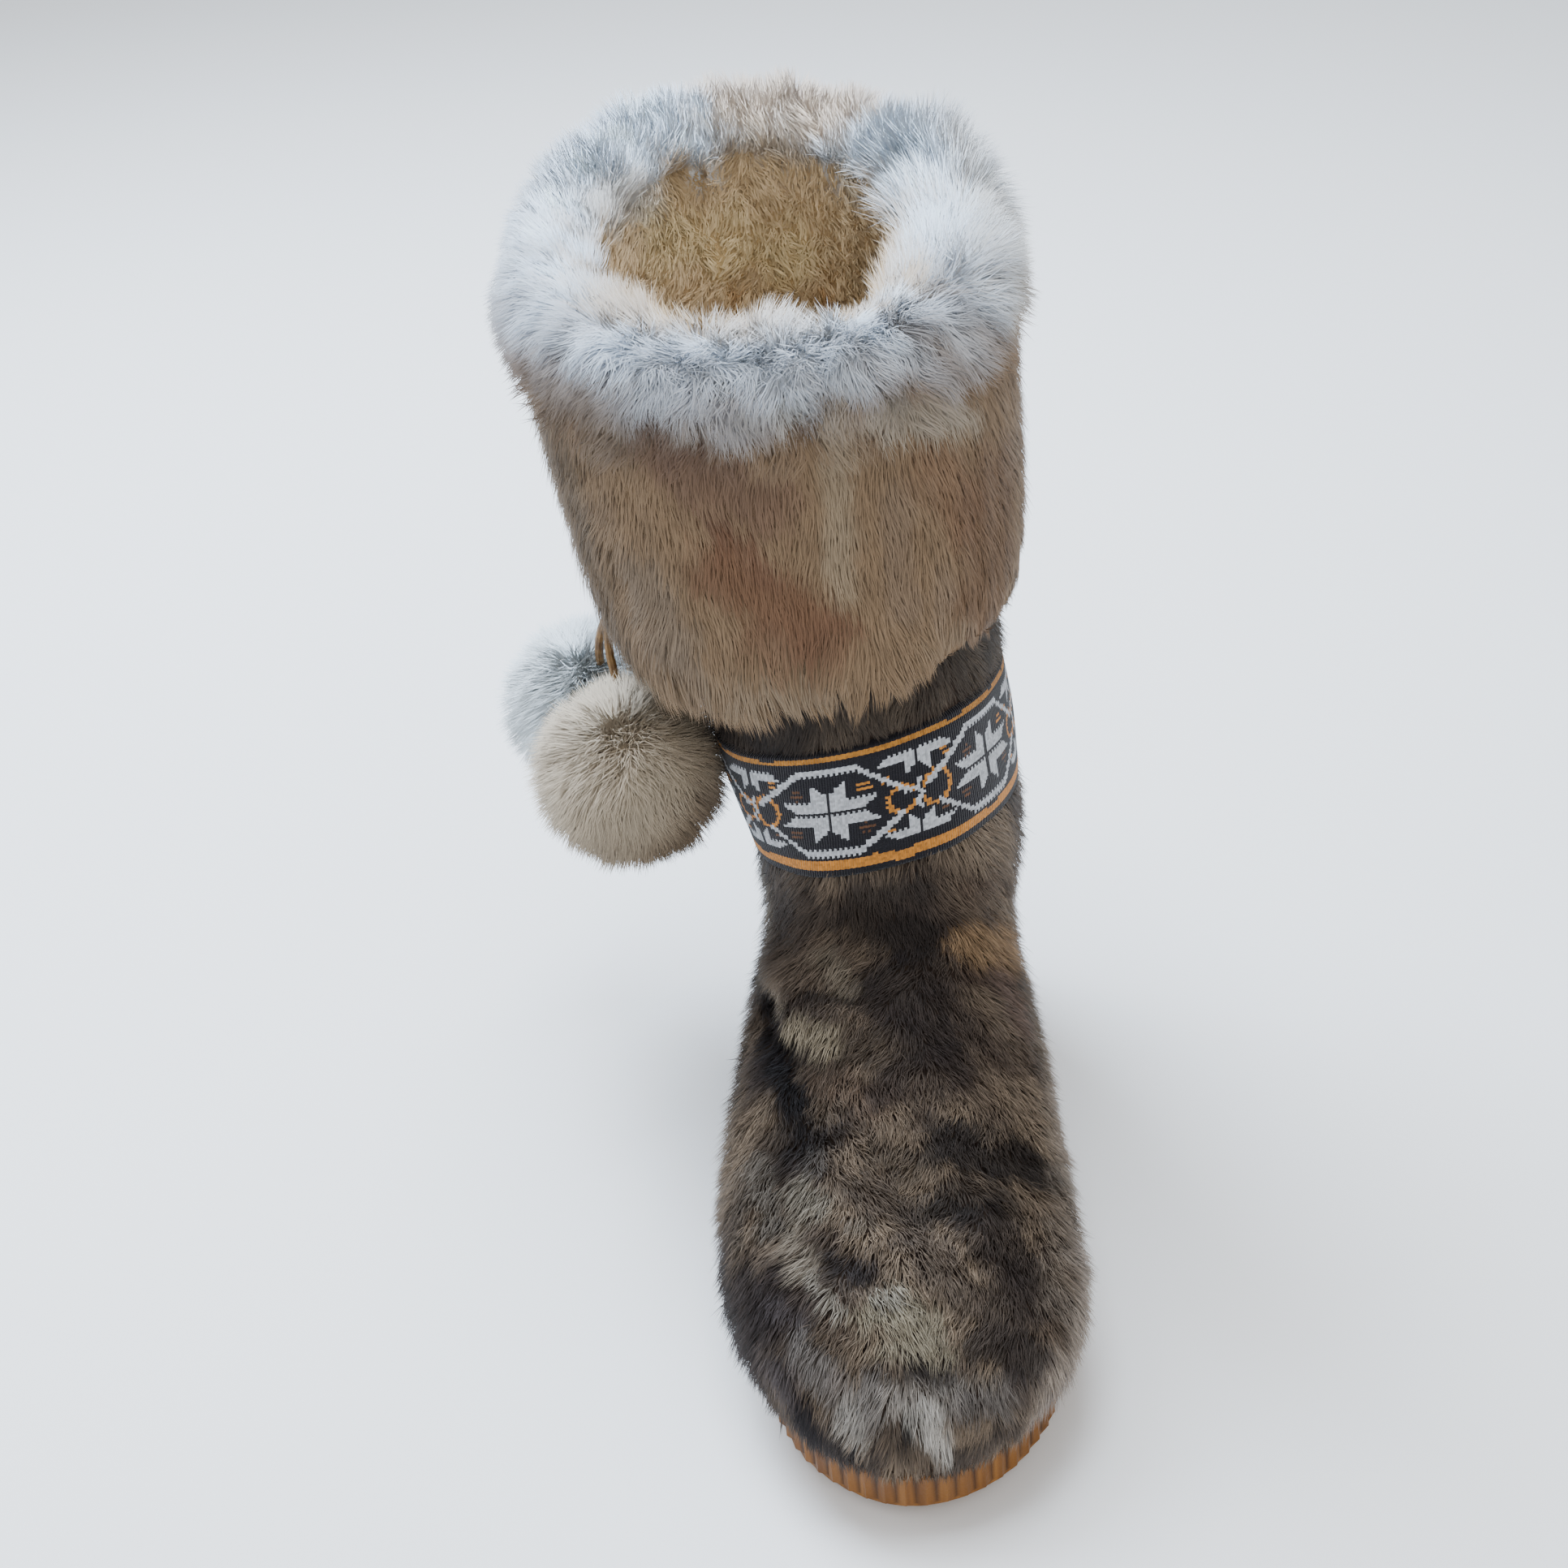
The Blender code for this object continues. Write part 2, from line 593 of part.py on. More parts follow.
def grown(ring, distance):
    """A ring moved out level by a distance."""
    normal = outward(ring[:, :2])
    return np.column_stack((ring[:, :2] + normal * distance, ring[:, 2]))


def make_band():
    rings = []
    for share in (-0.5, -0.3, -0.1, 0.1, 0.3, 0.5):
        base = BAND_HEIGHT + share * BAND_WIDTH
        sheet = tilted(base, BAND_FRONT_RISE, BAND_INNER_RISE, BAND_HEIGHT)
        rings.append(ring_on_upper(sheet, AROUND))
    inside = [grown(ring, CURVED_GAP) for ring in rings]
    outside = [grown(ring, CURVED_GAP + BAND_THICKNESS) for ring in rings]
    closed_rings("band", inside + outside[::-1], capped=False)


def cuff_drop(x, y):
    """How far the flap hangs below the hide's edge at a place round the shaft."""
    edge = SHAFT_HEIGHT - CUFF_DROP
    middle_x, middle_y = shaft_middle(edge)
    slant = (middle_y - y) * math.tan(CUFF_FRONT_RISE) + (x - middle_x) * math.tan(CUFF_INNER_RISE)
    return collar_height(y) - edge - slant


def flap_thickness(along, outwards):
    """The flap's wool, thicker where it faces outwards and towards its lower edge."""
    even = CUFF_TOP_THICKNESS + (CUFF_EDGE_THICKNESS - CUFF_TOP_THICKNESS) * along
    return even + CUFF_OUTER_EXTRA * soft_step(along, 0, 0.8) * soft_step(outwards, 0, 1)


def make_cuff():
    """One ring of sheepskin: its lining inside, the roll on the hide's edge, the flap outside."""
    top = ring_on_upper(ring_heights(1), CUFF_AROUND)
    normal = outward(top[:, :2])
    drop = cuff_drop(top[:, 0], top[:, 1])
    length = np.linalg.norm(top[:, :2] - np.roll(top[:, :2], 1, axis=0), axis=1).sum()
    locks = round(length / LOCK_WIDTH)
    turn = 2 * math.pi * np.arange(CUFF_AROUND) / CUFF_AROUND
    rings = []
    for part, along, side, relief in CUFF_ROWS:
        wave = np.cos(locks * turn + 1.3 * np.sin(3 * turn) + 2.0 * along)
        push = relief * LOCK_RELIEF * (0.5 * wave - 0.5)
        if part == "roll":
            thick = CUFF_LINING + UPPER_WALL + CUFF_TOP_THICKNESS + 2 * CURVED_GAP
            centre = 0.5 * thick - CUFF_LINING - UPPER_WALL - CURVED_GAP
            angle = math.pi * along
            place = top[:, :2] + normal * (centre - (0.5 * thick + push) * math.cos(angle))[:, None]
            height = top[:, 2] + CURVED_GAP + (CUFF_ROLL + push) * math.sin(angle)
            rings.append(np.column_stack((place, height)))
            continue
        depth = drop if part == "flap" else CUFF_LINING_DEPTH
        height = top[:, 2] - depth * along
        if along == 0:
            height = top[:, 2] + CURVED_GAP
        place = wall_at(top, height)
        if part == "flap":
            distance = CURVED_GAP + side * flap_thickness(along, -normal[:, 0]) + push
        else:
            distance = -UPPER_WALL - CURVED_GAP - side * CUFF_LINING - push
        if part == "flap" and along == 1:
            height = height - relief * LOCK_LENGTH * (0.5 + 0.5 * wave)
        place = place + normal * np.broadcast_to(distance, drop.shape)[:, None]
        rings.append(np.column_stack((place, height)))
    return closed_rings("cuff", rings, capped=False)


def wall_at(top, height):
    """Places in plan on the shaft below the points of its top ring."""
    middle_x, middle_y = shaft_middle(top[:, 2])
    now_x, now_y = shaft_middle(height)
    size = []
    for name in ("half_width", "half_depth"):
        above = read_table(SHAFT_ROWS, SHAFT_COLUMNS, name, top[:, 2] / SHAFT_HEIGHT)
        here = read_table(SHAFT_ROWS, SHAFT_COLUMNS, name, height / SHAFT_HEIGHT)
        size.append(here / above)
    place_x = now_x + (top[:, 0] - middle_x) * size[0]
    place_y = now_y + (top[:, 1] - middle_y) * size[1]
    return np.column_stack((place_x, place_y))


def make_pompom(name, radius, centre):
    """A ball whose skin is gathered into locks that run from its top to its bottom."""
    around, rows = 20, 9
    points = []
    for i in range(1, rows):
        lift = math.pi * i / rows
        for k in range(around):
            turn = 2 * math.pi * k / around
            lock = POMPOM_LOCK * (0.5 + 0.5 * math.cos(5 * turn + 1.7 * i)) * math.sin(lift) ** 2
            size = radius - lock
            flat = size * math.sin(lift)
            points.append((centre[0] + flat * math.cos(turn), centre[1] + flat * math.sin(turn),
                           centre[2] + POMPOM_FLATNESS * size * math.cos(lift)))
    faces = []
    for i in range(rows - 2):
        faces += band_faces(i * around, (i + 1) * around, around)
    top, bottom = len(points), len(points) + 1
    points.append((centre[0], centre[1], centre[2] + POMPOM_FLATNESS * radius))
    points.append((centre[0], centre[1], centre[2] - POMPOM_FLATNESS * radius))
    last = (rows - 2) * around
    for k in range(around):
        j = (k + 1) % around
        faces.append((top, k, j))
        faces.append((bottom, last + j, last + k))
    return make_object(name, points, faces)


def wall_face(y, z):
    """The outer side wall's place in x at a place y and a height z."""
    middle_x = float(shaft_middle(z)[0])
    found = find_surface(np.array([[middle_x, y]]), np.array([[-1.0, 0.0]]), lambda a, b: z + 0 * a)
    return float(found[0, 0])


def skin_met(thing, start, direction):
    """Where a line meets a solid's skin, and the way the skin faces there."""
    mesh = thing.data
    corners = [point.co for point in mesh.vertices]
    faces = [tuple(face.vertices) for face in mesh.polygons]
    place, normal, _, _ = BVHTree.FromPolygons(corners, faces).ray_cast(Vector(start), Vector(direction))
    return np.array(place), np.array(normal)


def make_pompoms(cuff):
    radii = {"front": POMPOM_FRONT_RADIUS, "back": POMPOM_BACK_RADIUS}
    off = {"front": 0, "back": POMPOM_BACK_OFF}
    for name, along, up, tie_along in POMPOM_ROWS:
        y = HEEL_BACK - along * SOLE_LENGTH
        z = up * SHAFT_HEIGHT
        beside = CURVED_GAP + BAND_THICKNESS + POMPOM_CLEARANCE + off[name]
        centre = np.array([wall_face(y, z) - beside - radii[name], y, z])
        pompom = make_pompom("pompom_" + name, radii[name], centre)
        make_tie("tie_" + name, tie_along, cuff, pompom, centre)


def make_tie(name, along, cuff, pompom, centre):
    """A thong that comes out of the cuff and runs down its face to the pompom's skin."""
    y = HEEL_BACK - along * SOLE_LENGTH
    high = TIE_HEIGHT * SHAFT_HEIGHT
    sag = np.array([-TIE_SAG, 0, 0])
    flap, normal = skin_met(cuff, (-SHAFT_HEIGHT, y, high), (1, 0, 0))
    leaving = centre - flap + 4 * sag
    outward_share = float(leaving @ normal) / float(np.linalg.norm(leaving))
    start = flap + normal * (GAP + 0.5 * TIE_DIAMETER * math.sqrt(1 - outward_share ** 2))
    way = (centre - start) / np.linalg.norm(centre - start)
    skin, _ = skin_met(pompom, start, way)
    end = skin - way * 2 * GAP
    places = []
    for i in range(6):
        t = i / 5
        places.append(start + (end - start) * t + sag * 4 * t * (1 - t))
    curve = bpy.data.curves.new(name, "CURVE")
    curve.dimensions = "3D"
    curve.bevel_depth = 0.5 * TIE_DIAMETER
    curve.bevel_resolution = 2
    curve.use_fill_caps = True
    line = curve.splines.new("POLY")
    line.points.add(len(places) - 1)
    for point, place in zip(line.points, places):
        point.co = (*place, 1)
    thing = bpy.data.objects.new(name, curve)
    bpy.context.scene.collection.objects.link(thing)
    give_material(thing)


for old in list(bpy.data.objects):
    bpy.data.objects.remove(old)

make_sole()
upper_inner = make_upper()
make_insole(upper_inner)
make_band()
make_pompoms(make_cuff())
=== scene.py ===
import math

import bmesh
import bpy
import numpy as np
from mathutils import Matrix, Vector
from mathutils.bvhtree import BVHTree
from mathutils.kdtree import KDTree


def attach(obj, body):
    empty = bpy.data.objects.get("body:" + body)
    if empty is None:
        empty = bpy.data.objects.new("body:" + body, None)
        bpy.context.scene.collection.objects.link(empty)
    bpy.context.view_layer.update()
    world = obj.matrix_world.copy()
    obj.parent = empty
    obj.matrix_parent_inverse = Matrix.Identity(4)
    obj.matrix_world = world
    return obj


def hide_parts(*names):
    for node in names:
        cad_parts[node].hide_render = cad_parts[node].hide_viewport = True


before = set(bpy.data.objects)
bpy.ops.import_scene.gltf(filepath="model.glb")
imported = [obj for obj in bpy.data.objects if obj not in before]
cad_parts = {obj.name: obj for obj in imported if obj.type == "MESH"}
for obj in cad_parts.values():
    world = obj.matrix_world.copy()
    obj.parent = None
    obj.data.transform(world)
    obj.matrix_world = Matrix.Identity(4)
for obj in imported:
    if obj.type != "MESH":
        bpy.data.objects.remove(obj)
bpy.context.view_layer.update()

bpy.ops.object.select_all(action="DESELECT")


# Camera: stands where the photograph was taken, in front of the toe and above it, a little to the
# inner side. The lens is shifted so that the one boot stands in the middle of the picture.

CAMERA_PLACE = (0.0351, -0.6167, 0.5191)
CAMERA_TURN = math.radians(0.4)     # to the boot's inner side
CAMERA_DOWN = math.radians(33.9)
CAMERA_ROLL = math.radians(-2.0)
PICTURE_SIDE = 1932                 # pixels, as the next two
FOCAL_LENGTH = 2518.5
BOOT_COLUMN = 700                   # the middle of the boot in the photograph

camera_data = bpy.data.cameras.new("camera")
camera = bpy.data.objects.new("camera", camera_data)
bpy.context.scene.collection.objects.link(camera)
camera.location = CAMERA_PLACE
camera.rotation_mode = "XYZ"
looking = Vector((math.sin(CAMERA_TURN) * math.cos(CAMERA_DOWN),
                  math.cos(CAMERA_TURN) * math.cos(CAMERA_DOWN), -math.sin(CAMERA_DOWN)))
turned = looking.to_track_quat("-Z", "Y").to_matrix()
rolled = turned @ Matrix.Rotation(CAMERA_ROLL, 3, "Z")
camera.rotation_euler = rolled.to_euler("XYZ")
camera_data.sensor_width = 36
camera_data.lens = camera_data.sensor_width * FOCAL_LENGTH / PICTURE_SIDE
camera_data.shift_x = (BOOT_COLUMN - PICTURE_SIDE / 2) / PICTURE_SIDE
camera_data.dof.use_dof = False
bpy.context.scene.camera = camera


# Floor and light: a pale plain floor, cool soft lamps behind and above the boot in the place of
# the photograph's sky, and weaker ones at the left and in front, all in a pale even surround.

def colour(code):
    """Linear red, green and blue of a hex colour as screens show it."""
    parts = [int(code[i:i + 2], 16) / 255 for i in (1, 3, 5)]
    return tuple(p / 12.92 if p <= 0.04045 else ((p + 0.055) / 1.055) ** 2.4 for p in parts)


def add_node(tree, kind, settings=None, stops=(), **links):
    """A node with its settings, its colour stops, and the values or sockets that feed it. Each of
    these is named for its input, or i and the input's number."""
    node = tree.nodes.new(kind)
    for key, value in (settings or {}).items():
        setattr(node, key, value)
    for key, value in links.items():
        numbered = key[0] == "i" and key[1:].isdigit()
        socket = node.inputs[int(key[1:]) if numbered else key.replace("_", " ")]
        if isinstance(value, bpy.types.NodeSocket):
            tree.links.new(value, socket)
        else:
            socket.default_value = value
    row = node.color_ramp.elements if stops else ()
    while len(row) < len(stops):
        row.new(0.5)
    for element, (position, code) in zip(row, stops):
        element.position = position
        element.color = (*colour(code), 1)
    return node


def new_material(name, roughness, specular):
    material = bpy.data.materials.new(name)
    material.use_nodes = True
    shader = material.node_tree.nodes["Principled BSDF"]
    shader.inputs["Roughness"].default_value = roughness
    shader.inputs["Specular IOR Level"].default_value = specular
    return material, material.node_tree, shader


# The floor is matt, so that it shows soft shade and no mirror image.
bpy.ops.mesh.primitive_plane_add(size=14, location=(0, 0, 0))
floor = bpy.context.object
floor.name = "floor"
floor_material, tree, shader = new_material("pale_floor", 0.9, 0.1)
shader.inputs["Base Color"].default_value = (*colour("#f2f2f1"), 1)
floor.data.materials.append(floor_material)

world = bpy.data.worlds.new("sky")
world.use_nodes = True
world.node_tree.nodes["Background"].inputs["Color"].default_value = (*colour("#f1f4f8"), 1)
world.node_tree.nodes["Background"].inputs["Strength"].default_value = 0.88
bpy.context.scene.world = world

# Square lamps: name, place and target in m, side in m, power in W and tint.
LIGHT_ROWS = (
    ("sky_behind", (-0.65, 0.65, 1.45), (-0.02, 0.0, 0.28), 0.8, 54.0, "#dcecff"),
    ("sky_above", (-0.05, 0.10, 1.60), (-0.03, 0.0, 0.20), 0.7, 26.0, "#e8f2ff"),
    ("window_left", (-1.3, -0.1, 0.9), (-0.02, -0.05, 0.15), 0.9, 4.5, "#f4f7ff"),
    ("room_front", (0.5, -1.3, 1.1), (0.0, -0.1, 0.1), 1.2, 8.0, "#fff6ea"),
)
for name, place, target, size, power, tint in LIGHT_ROWS:
    data = bpy.data.lights.new(name, "AREA")
    data.size = size
    data.energy = power
    data.color = colour(tint)
    lamp = bpy.data.objects.new(name, data)
    lamp.location = place
    lamp.rotation_euler = (Vector(target) - Vector(place)).to_track_quat("-Z", "Y").to_euler()
    bpy.context.scene.collection.objects.link(lamp)


# Sole: one cup of honey-coloured gum rubber, moulded with upright ribs round its side and
# cemented under the upper. It is a copy of the CAD solid in the same shape, and only adds a value
# at each vertex that says how deep in a groove it lies.

RIB_STANDS = 0.0008             # m that a rib stands out from the mean of what lies round it
RIB_REACH = 0.004

# Gum rubber from a mould: satin and honey brown, with painted shade down in the grooves. The
# streaks are about 4 mm apart and drawn out upright, as the finer ribs of the real sole are.
rubber, tree, shader = new_material("gum_rubber", 0.5, 0.25)
place = add_node(tree, "ShaderNodeTexCoord").outputs["Object"]
upright = add_node(tree, "ShaderNodeMapping", Vector=place, Scale=(1.0, 1.0, 0.05)).outputs[0]
streak = add_node(tree, "ShaderNodeTexNoise", Vector=upright, Scale=230, Detail=2,
                  Roughness=0.55).outputs["Fac"]
rubber_tone = add_node(tree, "ShaderNodeValToRGB", Fac=streak,
                       stops=((0.3, "#5d370b"), (0.52, "#744916"), (0.75, "#8c5d25"))).outputs["Color"]
ribs = add_node(tree, "ShaderNodeAttribute", {"attribute_name": "ribs"}).outputs["Fac"]
# Painted shade: the colour darkens down in the grooves, as the ribs value says.
painted_groove_shade = add_node(tree, "ShaderNodeValToRGB", Fac=ribs,
                stops=((0.15, "#5a4a40"), (0.6, "#ffffff"))).outputs["Color"]
mixed = add_node(tree, "ShaderNodeMix", {"data_type": "RGBA", "blend_type": "MULTIPLY"},
                 i0=1.0, i6=rubber_tone, i7=painted_groove_shade)
tree.links.new(mixed.outputs[2], shader.inputs["Base Color"])
grain = add_node(tree, "ShaderNodeTexNoise", Vector=place, Scale=900, Detail=3, Roughness=0.55).outputs["Fac"]
ribbed = add_node(tree, "ShaderNodeBump", Strength=0.5, Distance=0.0008, Height=streak)
bump = add_node(tree, "ShaderNodeBump", Strength=0.25, Distance=0.0004, Height=grain,
                Normal=ribbed.outputs["Normal"])
tree.links.new(bump.outputs["Normal"], shader.inputs["Normal"])
scuff = add_node(tree, "ShaderNodeTexNoise", Vector=place, Scale=70, Detail=6, Roughness=0.55).outputs["Fac"]
rough = add_node(tree, "ShaderNodeMapRange", i0=scuff, i1=0.35, i2=0.7, i3=0.34, i4=0.62)
tree.links.new(rough.outputs[0], shader.inputs["Roughness"])


def skin_from(node, name, levels, material):
    """A copy of a CAD node with its doubles merged, rounded by so many levels."""
    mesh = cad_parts[node].data.copy()
    mesh.name = name
    mesh.materials.clear()
    mesh.materials.append(material)
    skin = bpy.data.objects.new(name, mesh)
    bpy.context.scene.collection.objects.link(skin)
    work = bmesh.new()
    work.from_mesh(mesh)
    bmesh.ops.remove_doubles(work, verts=work.verts, dist=1e-6)
    bmesh.ops.join_triangles(work, faces=work.faces, angle_face_threshold=0.6, angle_shape_threshold=1.2)
    work.to_mesh(mesh)
    work.free()
    bpy.context.view_layer.objects.active = skin
    skin.select_set(True)
    if levels:
        rounding = skin.modifiers.new("rounding", "SUBSURF")
        rounding.levels = levels
        rounding.render_levels = levels
        bpy.ops.object.modifier_apply(modifier=rounding.name)
    for face in mesh.polygons:
        face.use_smooth = True
    skin.select_set(False)
    return skin


def mesh_arrays(thing):
    """Triangle corners, vertex places and vertex normals of a mesh as arrays."""
    mesh = thing.data
    mesh.calc_loop_triangles()
    corners = np.empty(len(mesh.loop_triangles) * 3, np.int32)
    mesh.loop_triangles.foreach_get("vertices", corners)
    places = np.empty(len(mesh.vertices) * 3, np.float32)
    mesh.vertices.foreach_get("co", places)
    normals = np.empty(len(mesh.vertices) * 3, np.float32)
    mesh.vertex_normals.foreach_get("vector", normals)
    return corners.reshape(-1, 3), places.reshape(-1, 3).astype(float), normals.reshape(-1, 3).astype(float)


def unit(rows):
    """Each row at length 1."""
    return rows / np.maximum(np.linalg.norm(rows, axis=1), 1e-9)[:, None]


def groove_shade(thing, reach):
    """Per vertex: near 0 in a groove, near 1 on a rib, from how its neighbours stand out."""
    _, places, normals = mesh_arrays(thing)
    tree = KDTree(len(places))
    for k, place in enumerate(places):
        tree.insert(place, k)
    tree.balance()
    sunk_by = np.ones(len(places))
    for k, place in enumerate(places):
        around = [i for _, i, _ in tree.find_range(place, reach)]
        sunk_by[k] = np.mean((places[around] - place) @ normals[k])
    return np.clip(0.5 - sunk_by / RIB_STANDS, 0, 1)


rubber_sole = skin_from("sole", "rubber_sole", 0, rubber)
for face in rubber_sole.data.polygons:
    face.use_smooth = False
shade = groove_shade(rubber_sole, RIB_REACH).astype(np.float32)
rubber_sole.data.attributes.new("ribs", "FLOAT", "POINT").data.foreach_set("value", shade)
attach(rubber_sole, "root")
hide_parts("sole")


# Insole: a loose sole cut from sheared tan fleece. It lies on the rubber sole inside the foot, and
# shows only through the opening at the top.

def fleece(name, deep, light):
    """Short curly wool pile, sheared: matt and soft, with curls of about 2 mm and painted shade in the hollows
    between them.
    """
    material, tree, shader = new_material(name, 0.95, 0.05)
    place = add_node(tree, "ShaderNodeTexCoord").outputs["Object"]
    curls = add_node(tree, "ShaderNodeTexNoise", Vector=place, Scale=420, Detail=5,
                     Roughness=0.7).outputs["Fac"]
    # Painted shade: the colour is darker where the curls' bump is low.
    tone = add_node(tree, "ShaderNodeValToRGB", Fac=curls, stops=((0.35, deep), (0.65, light))).outputs["Color"]
    tree.links.new(tone, shader.inputs["Base Color"])
    bump = add_node(tree, "ShaderNodeBump", Strength=0.9, Distance=0.0015, Height=curls)
    tree.links.new(bump.outputs["Normal"], shader.inputs["Normal"])
    shader.inputs["Sheen Weight"].default_value = 0.3
    return material


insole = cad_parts["insole"]
insole.data.materials.clear()
insole.data.materials.append(fleece("insole_fleece", "#6f5b40", "#b39c75"))


# Upper: hide with its hair on, sewn from a raised plug over the foot, side walls and a shaft. The
# skin below the hair takes the CAD wall's form, rounded, and the hair stands on its outside.

def scatter(thing, count, weight, seed):
    """Random places on a mesh with the normals there, thicker where weight is larger."""
    rng = np.random.default_rng(seed)
    corners, places, normals = mesh_arrays(thing)
    a, b, c = (places[corners[:, k]] for k in range(3))
    cross = np.cross(b - a, c - a)
    area = 0.5 * np.linalg.norm(cross, axis=1)
    share = area * weight((a + b + c) / 3, unit(cross))
    chosen = rng.choice(len(corners), count, p=share / share.sum())
    u, v = rng.random(count), rng.random(count)
    over = u + v > 1
    u[over], v[over] = 1 - u[over], 1 - v[over]
    w = 1 - u - v
    root = w[:, None] * a[chosen] + u[:, None] * b[chosen] + v[:, None] * c[chosen]
    na, nb, nc = (normals[corners[chosen, k]] for k in range(3))
    return root, unit(w[:, None] * na + u[:, None] * nb + v[:, None] * nc), rng


def soft(value, low, high):
    """0 below low, 1 above high, and an even curve between."""
    t = np.clip((value - low) / (high - low), 0, 1)
    return t * t * (3 - 2 * t)


def ripple(places, scale, seed):
    """Smooth uneven values between about -1 and 1, scale in metres."""
    rng = np.random.default_rng(seed)
    total = np.zeros(len(places))
    for _ in range(10):
        wave = rng.normal(size=3)
        wave *= rng.uniform(0.6, 1.6) * 2 * math.pi / (scale * np.linalg.norm(wave))
        total += np.sin(places @ wave + rng.uniform(0, 2 * math.pi))
    return total / 4.5


def stroke_share(places, ends, half):
    """Distance of places from a stroke between two points in mm, as a share of its half width."""
    low, high = np.array(ends[:3]), np.array(ends[3:])
    along = high - low
    t = np.clip((places * 1000 - low) @ along / max(along @ along, 1e-6), 0, 1)
    return np.linalg.norm(places * 1000 - low - t[:, None] * along, axis=1) / half


def paint(places, base, rows, seed):
    """Colours at places: soft-edged strokes of hair colour laid over base colours."""
    found = base.copy()
    edge = ripple(places, 0.014, seed) * 0.30 + ripple(places, 0.005, seed + 1) * 0.18
    for *ends, half, code, strength in rows:
        share = strength * (1 - soft(stroke_share(places, ends, half) + edge, 0.55, 1.5))
        found += (np.array(colour(code)) - found) * share[:, None]
    return found


HAIR_FIELD = 0.02               # square metres that a mesh of hair is taken to cover, for its locks


def grow(name, material, root, normal, flow, length, width, rng, lift, clump, clump_size, tip, base,
         stray, droop=0.0, curl=0.0, crown=(0, 0, 0.4)):
    """Hair as one mesh of thin blades that rise from the skin by lift and then follow flow. Their
    tips are gathered into locks. They face the skin's normal and the crown, not each its own way,
    so that a blade is as light from behind as from in front."""
    segments = 2
    count = len(root)
    lift = np.broadcast_to(lift, (count,))[:, None]
    start = unit(normal * lift + flow * (1 - lift) + rng.normal(size=(count, 3)) * stray)
    final = unit(start + flow * 0.9 * (1 - lift) + np.array([0, 0, -1.0]) * droop
                 + rng.normal(size=(count, 3)) * stray)
    length = np.broadcast_to(length, (count,))[:, None]
    number = max(8, int(count / max(6, count * clump_size ** 2 / HAIR_FIELD)))
    centres = rng.choice(count, min(number, count), replace=False)
    tree = KDTree(len(centres))
    for k, i in enumerate(centres):
        tree.insert(root[i], k)
    tree.balance()
    centre = centres[np.array([tree.find(place)[1] for place in root])]
    aim = root[centre] + (start[centre] + final[centre]) * 0.5 * length[centre]
    straight = root + (start + final) * 0.5 * length
    shift = (aim - straight) * np.broadcast_to(clump, (count,))[:, None]
    facing = unit(normal + np.asarray(crown, float))
    side = unit(unit(np.cross(start, facing)) + rng.normal(size=(count, 3)) * 0.22)
    steps = np.linspace(0, 1, segments + 1)
    tuft = ripple(root, 0.010, 77)[:, None] + rng.normal(size=(count, 1)) * 0.25
    bend = unit(np.cross(normal, flow)) * tuft * curl * length
    rows, shades = [], []
    for t in steps:
        middle = root + length * (start * t + (final - start) * 0.5 * t * t) + shift * t ** 1.5
        middle = middle + bend * math.sin(math.pi * t)
        half = 0.5 * width * (1 - 0.75 * t)
        shade = base + (tip - base) * soft(t, -0.1, 0.75)
        if t < 1:
            rows += [middle - side * half, middle + side * half]
            shades += [shade, shade]
        else:
            rows.append(middle)
            shades.append(shade)
    points = np.stack(rows, axis=1)
    shades = np.stack(shades, axis=1)
    per = points.shape[1]
    pattern = []
    for k in range(segments - 1):
        low = 2 * k
        pattern += [(low, low + 1, low + 3), (low, low + 3, low + 2)]
    pattern.append((per - 3, per - 2, per - 1))
    faces = (np.array(pattern)[None, :, :] + (np.arange(count) * per)[:, None, None]).reshape(-1, 3)
    mesh = bpy.data.meshes.new(name)
    mesh.vertices.add(count * per)
    mesh.vertices.foreach_set("co", points.reshape(-1).astype(np.float32))
    mesh.loops.add(len(faces) * 3)
    mesh.loops.foreach_set("vertex_index", faces.reshape(-1).astype(np.int32))
    mesh.polygons.add(len(faces))
    mesh.polygons.foreach_set("loop_start", np.arange(0, len(faces) * 3, 3, dtype=np.int32))
    mesh.update(calc_edges=True)
    rgba = np.ones((count * per, 4), np.float32)
    rgba[:, :3] = np.clip(shades.reshape(-1, 3), 0, 1)
    coat_layer = mesh.color_attributes.new("coat", "FLOAT_COLOR", "POINT")
    coat_layer.data.foreach_set("color", rgba.reshape(-1))
    mesh.polygons.foreach_set("use_smooth", np.ones(len(faces), bool))
    outward = np.repeat(unit(facing + start * 0.35), per, axis=0).astype(np.float32)
    mesh.normals_split_custom_set_from_vertices(outward)
    mesh.attributes.new("outward", "FLOAT_VECTOR", "POINT").data.foreach_set("vector", outward.reshape(-1))
    mesh.materials.append(material)
    hair = bpy.data.objects.new(name, mesh)
    bpy.context.scene.collection.objects.link(hair)
    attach(hair, "root")
    return hair


def hair_material(name, roughness, specular, sheen, sheen_tint="#ffffff"):
    """Hair: its colour comes from root to tip with each blade, and so does the way it faces. The
    sheen stands for light that passes through loose tips."""
    material, tree, shader = new_material(name, roughness, specular)
    coat = add_node(tree, "ShaderNodeAttribute", {"attribute_name": "coat"})
    tree.links.new(coat.outputs["Color"], shader.inputs["Base Color"])
    outward = add_node(tree, "ShaderNodeAttribute", {"attribute_name": "outward"})
    tree.links.new(outward.outputs["Vector"], shader.inputs["Normal"])
    shader.inputs["Sheen Weight"].default_value = sheen
    shader.inputs["Sheen Roughness"].default_value = 0.5
    shader.inputs["Sheen Tint"].default_value = (*colour(sheen_tint), 1)
    return material


def along_surface(normal, direction):
    """A direction laid down onto the surface."""
    direction = np.broadcast_to(np.array(direction, float), normal.shape)
    return unit(direction - normal * np.sum(normal * direction, axis=1)[:, None])


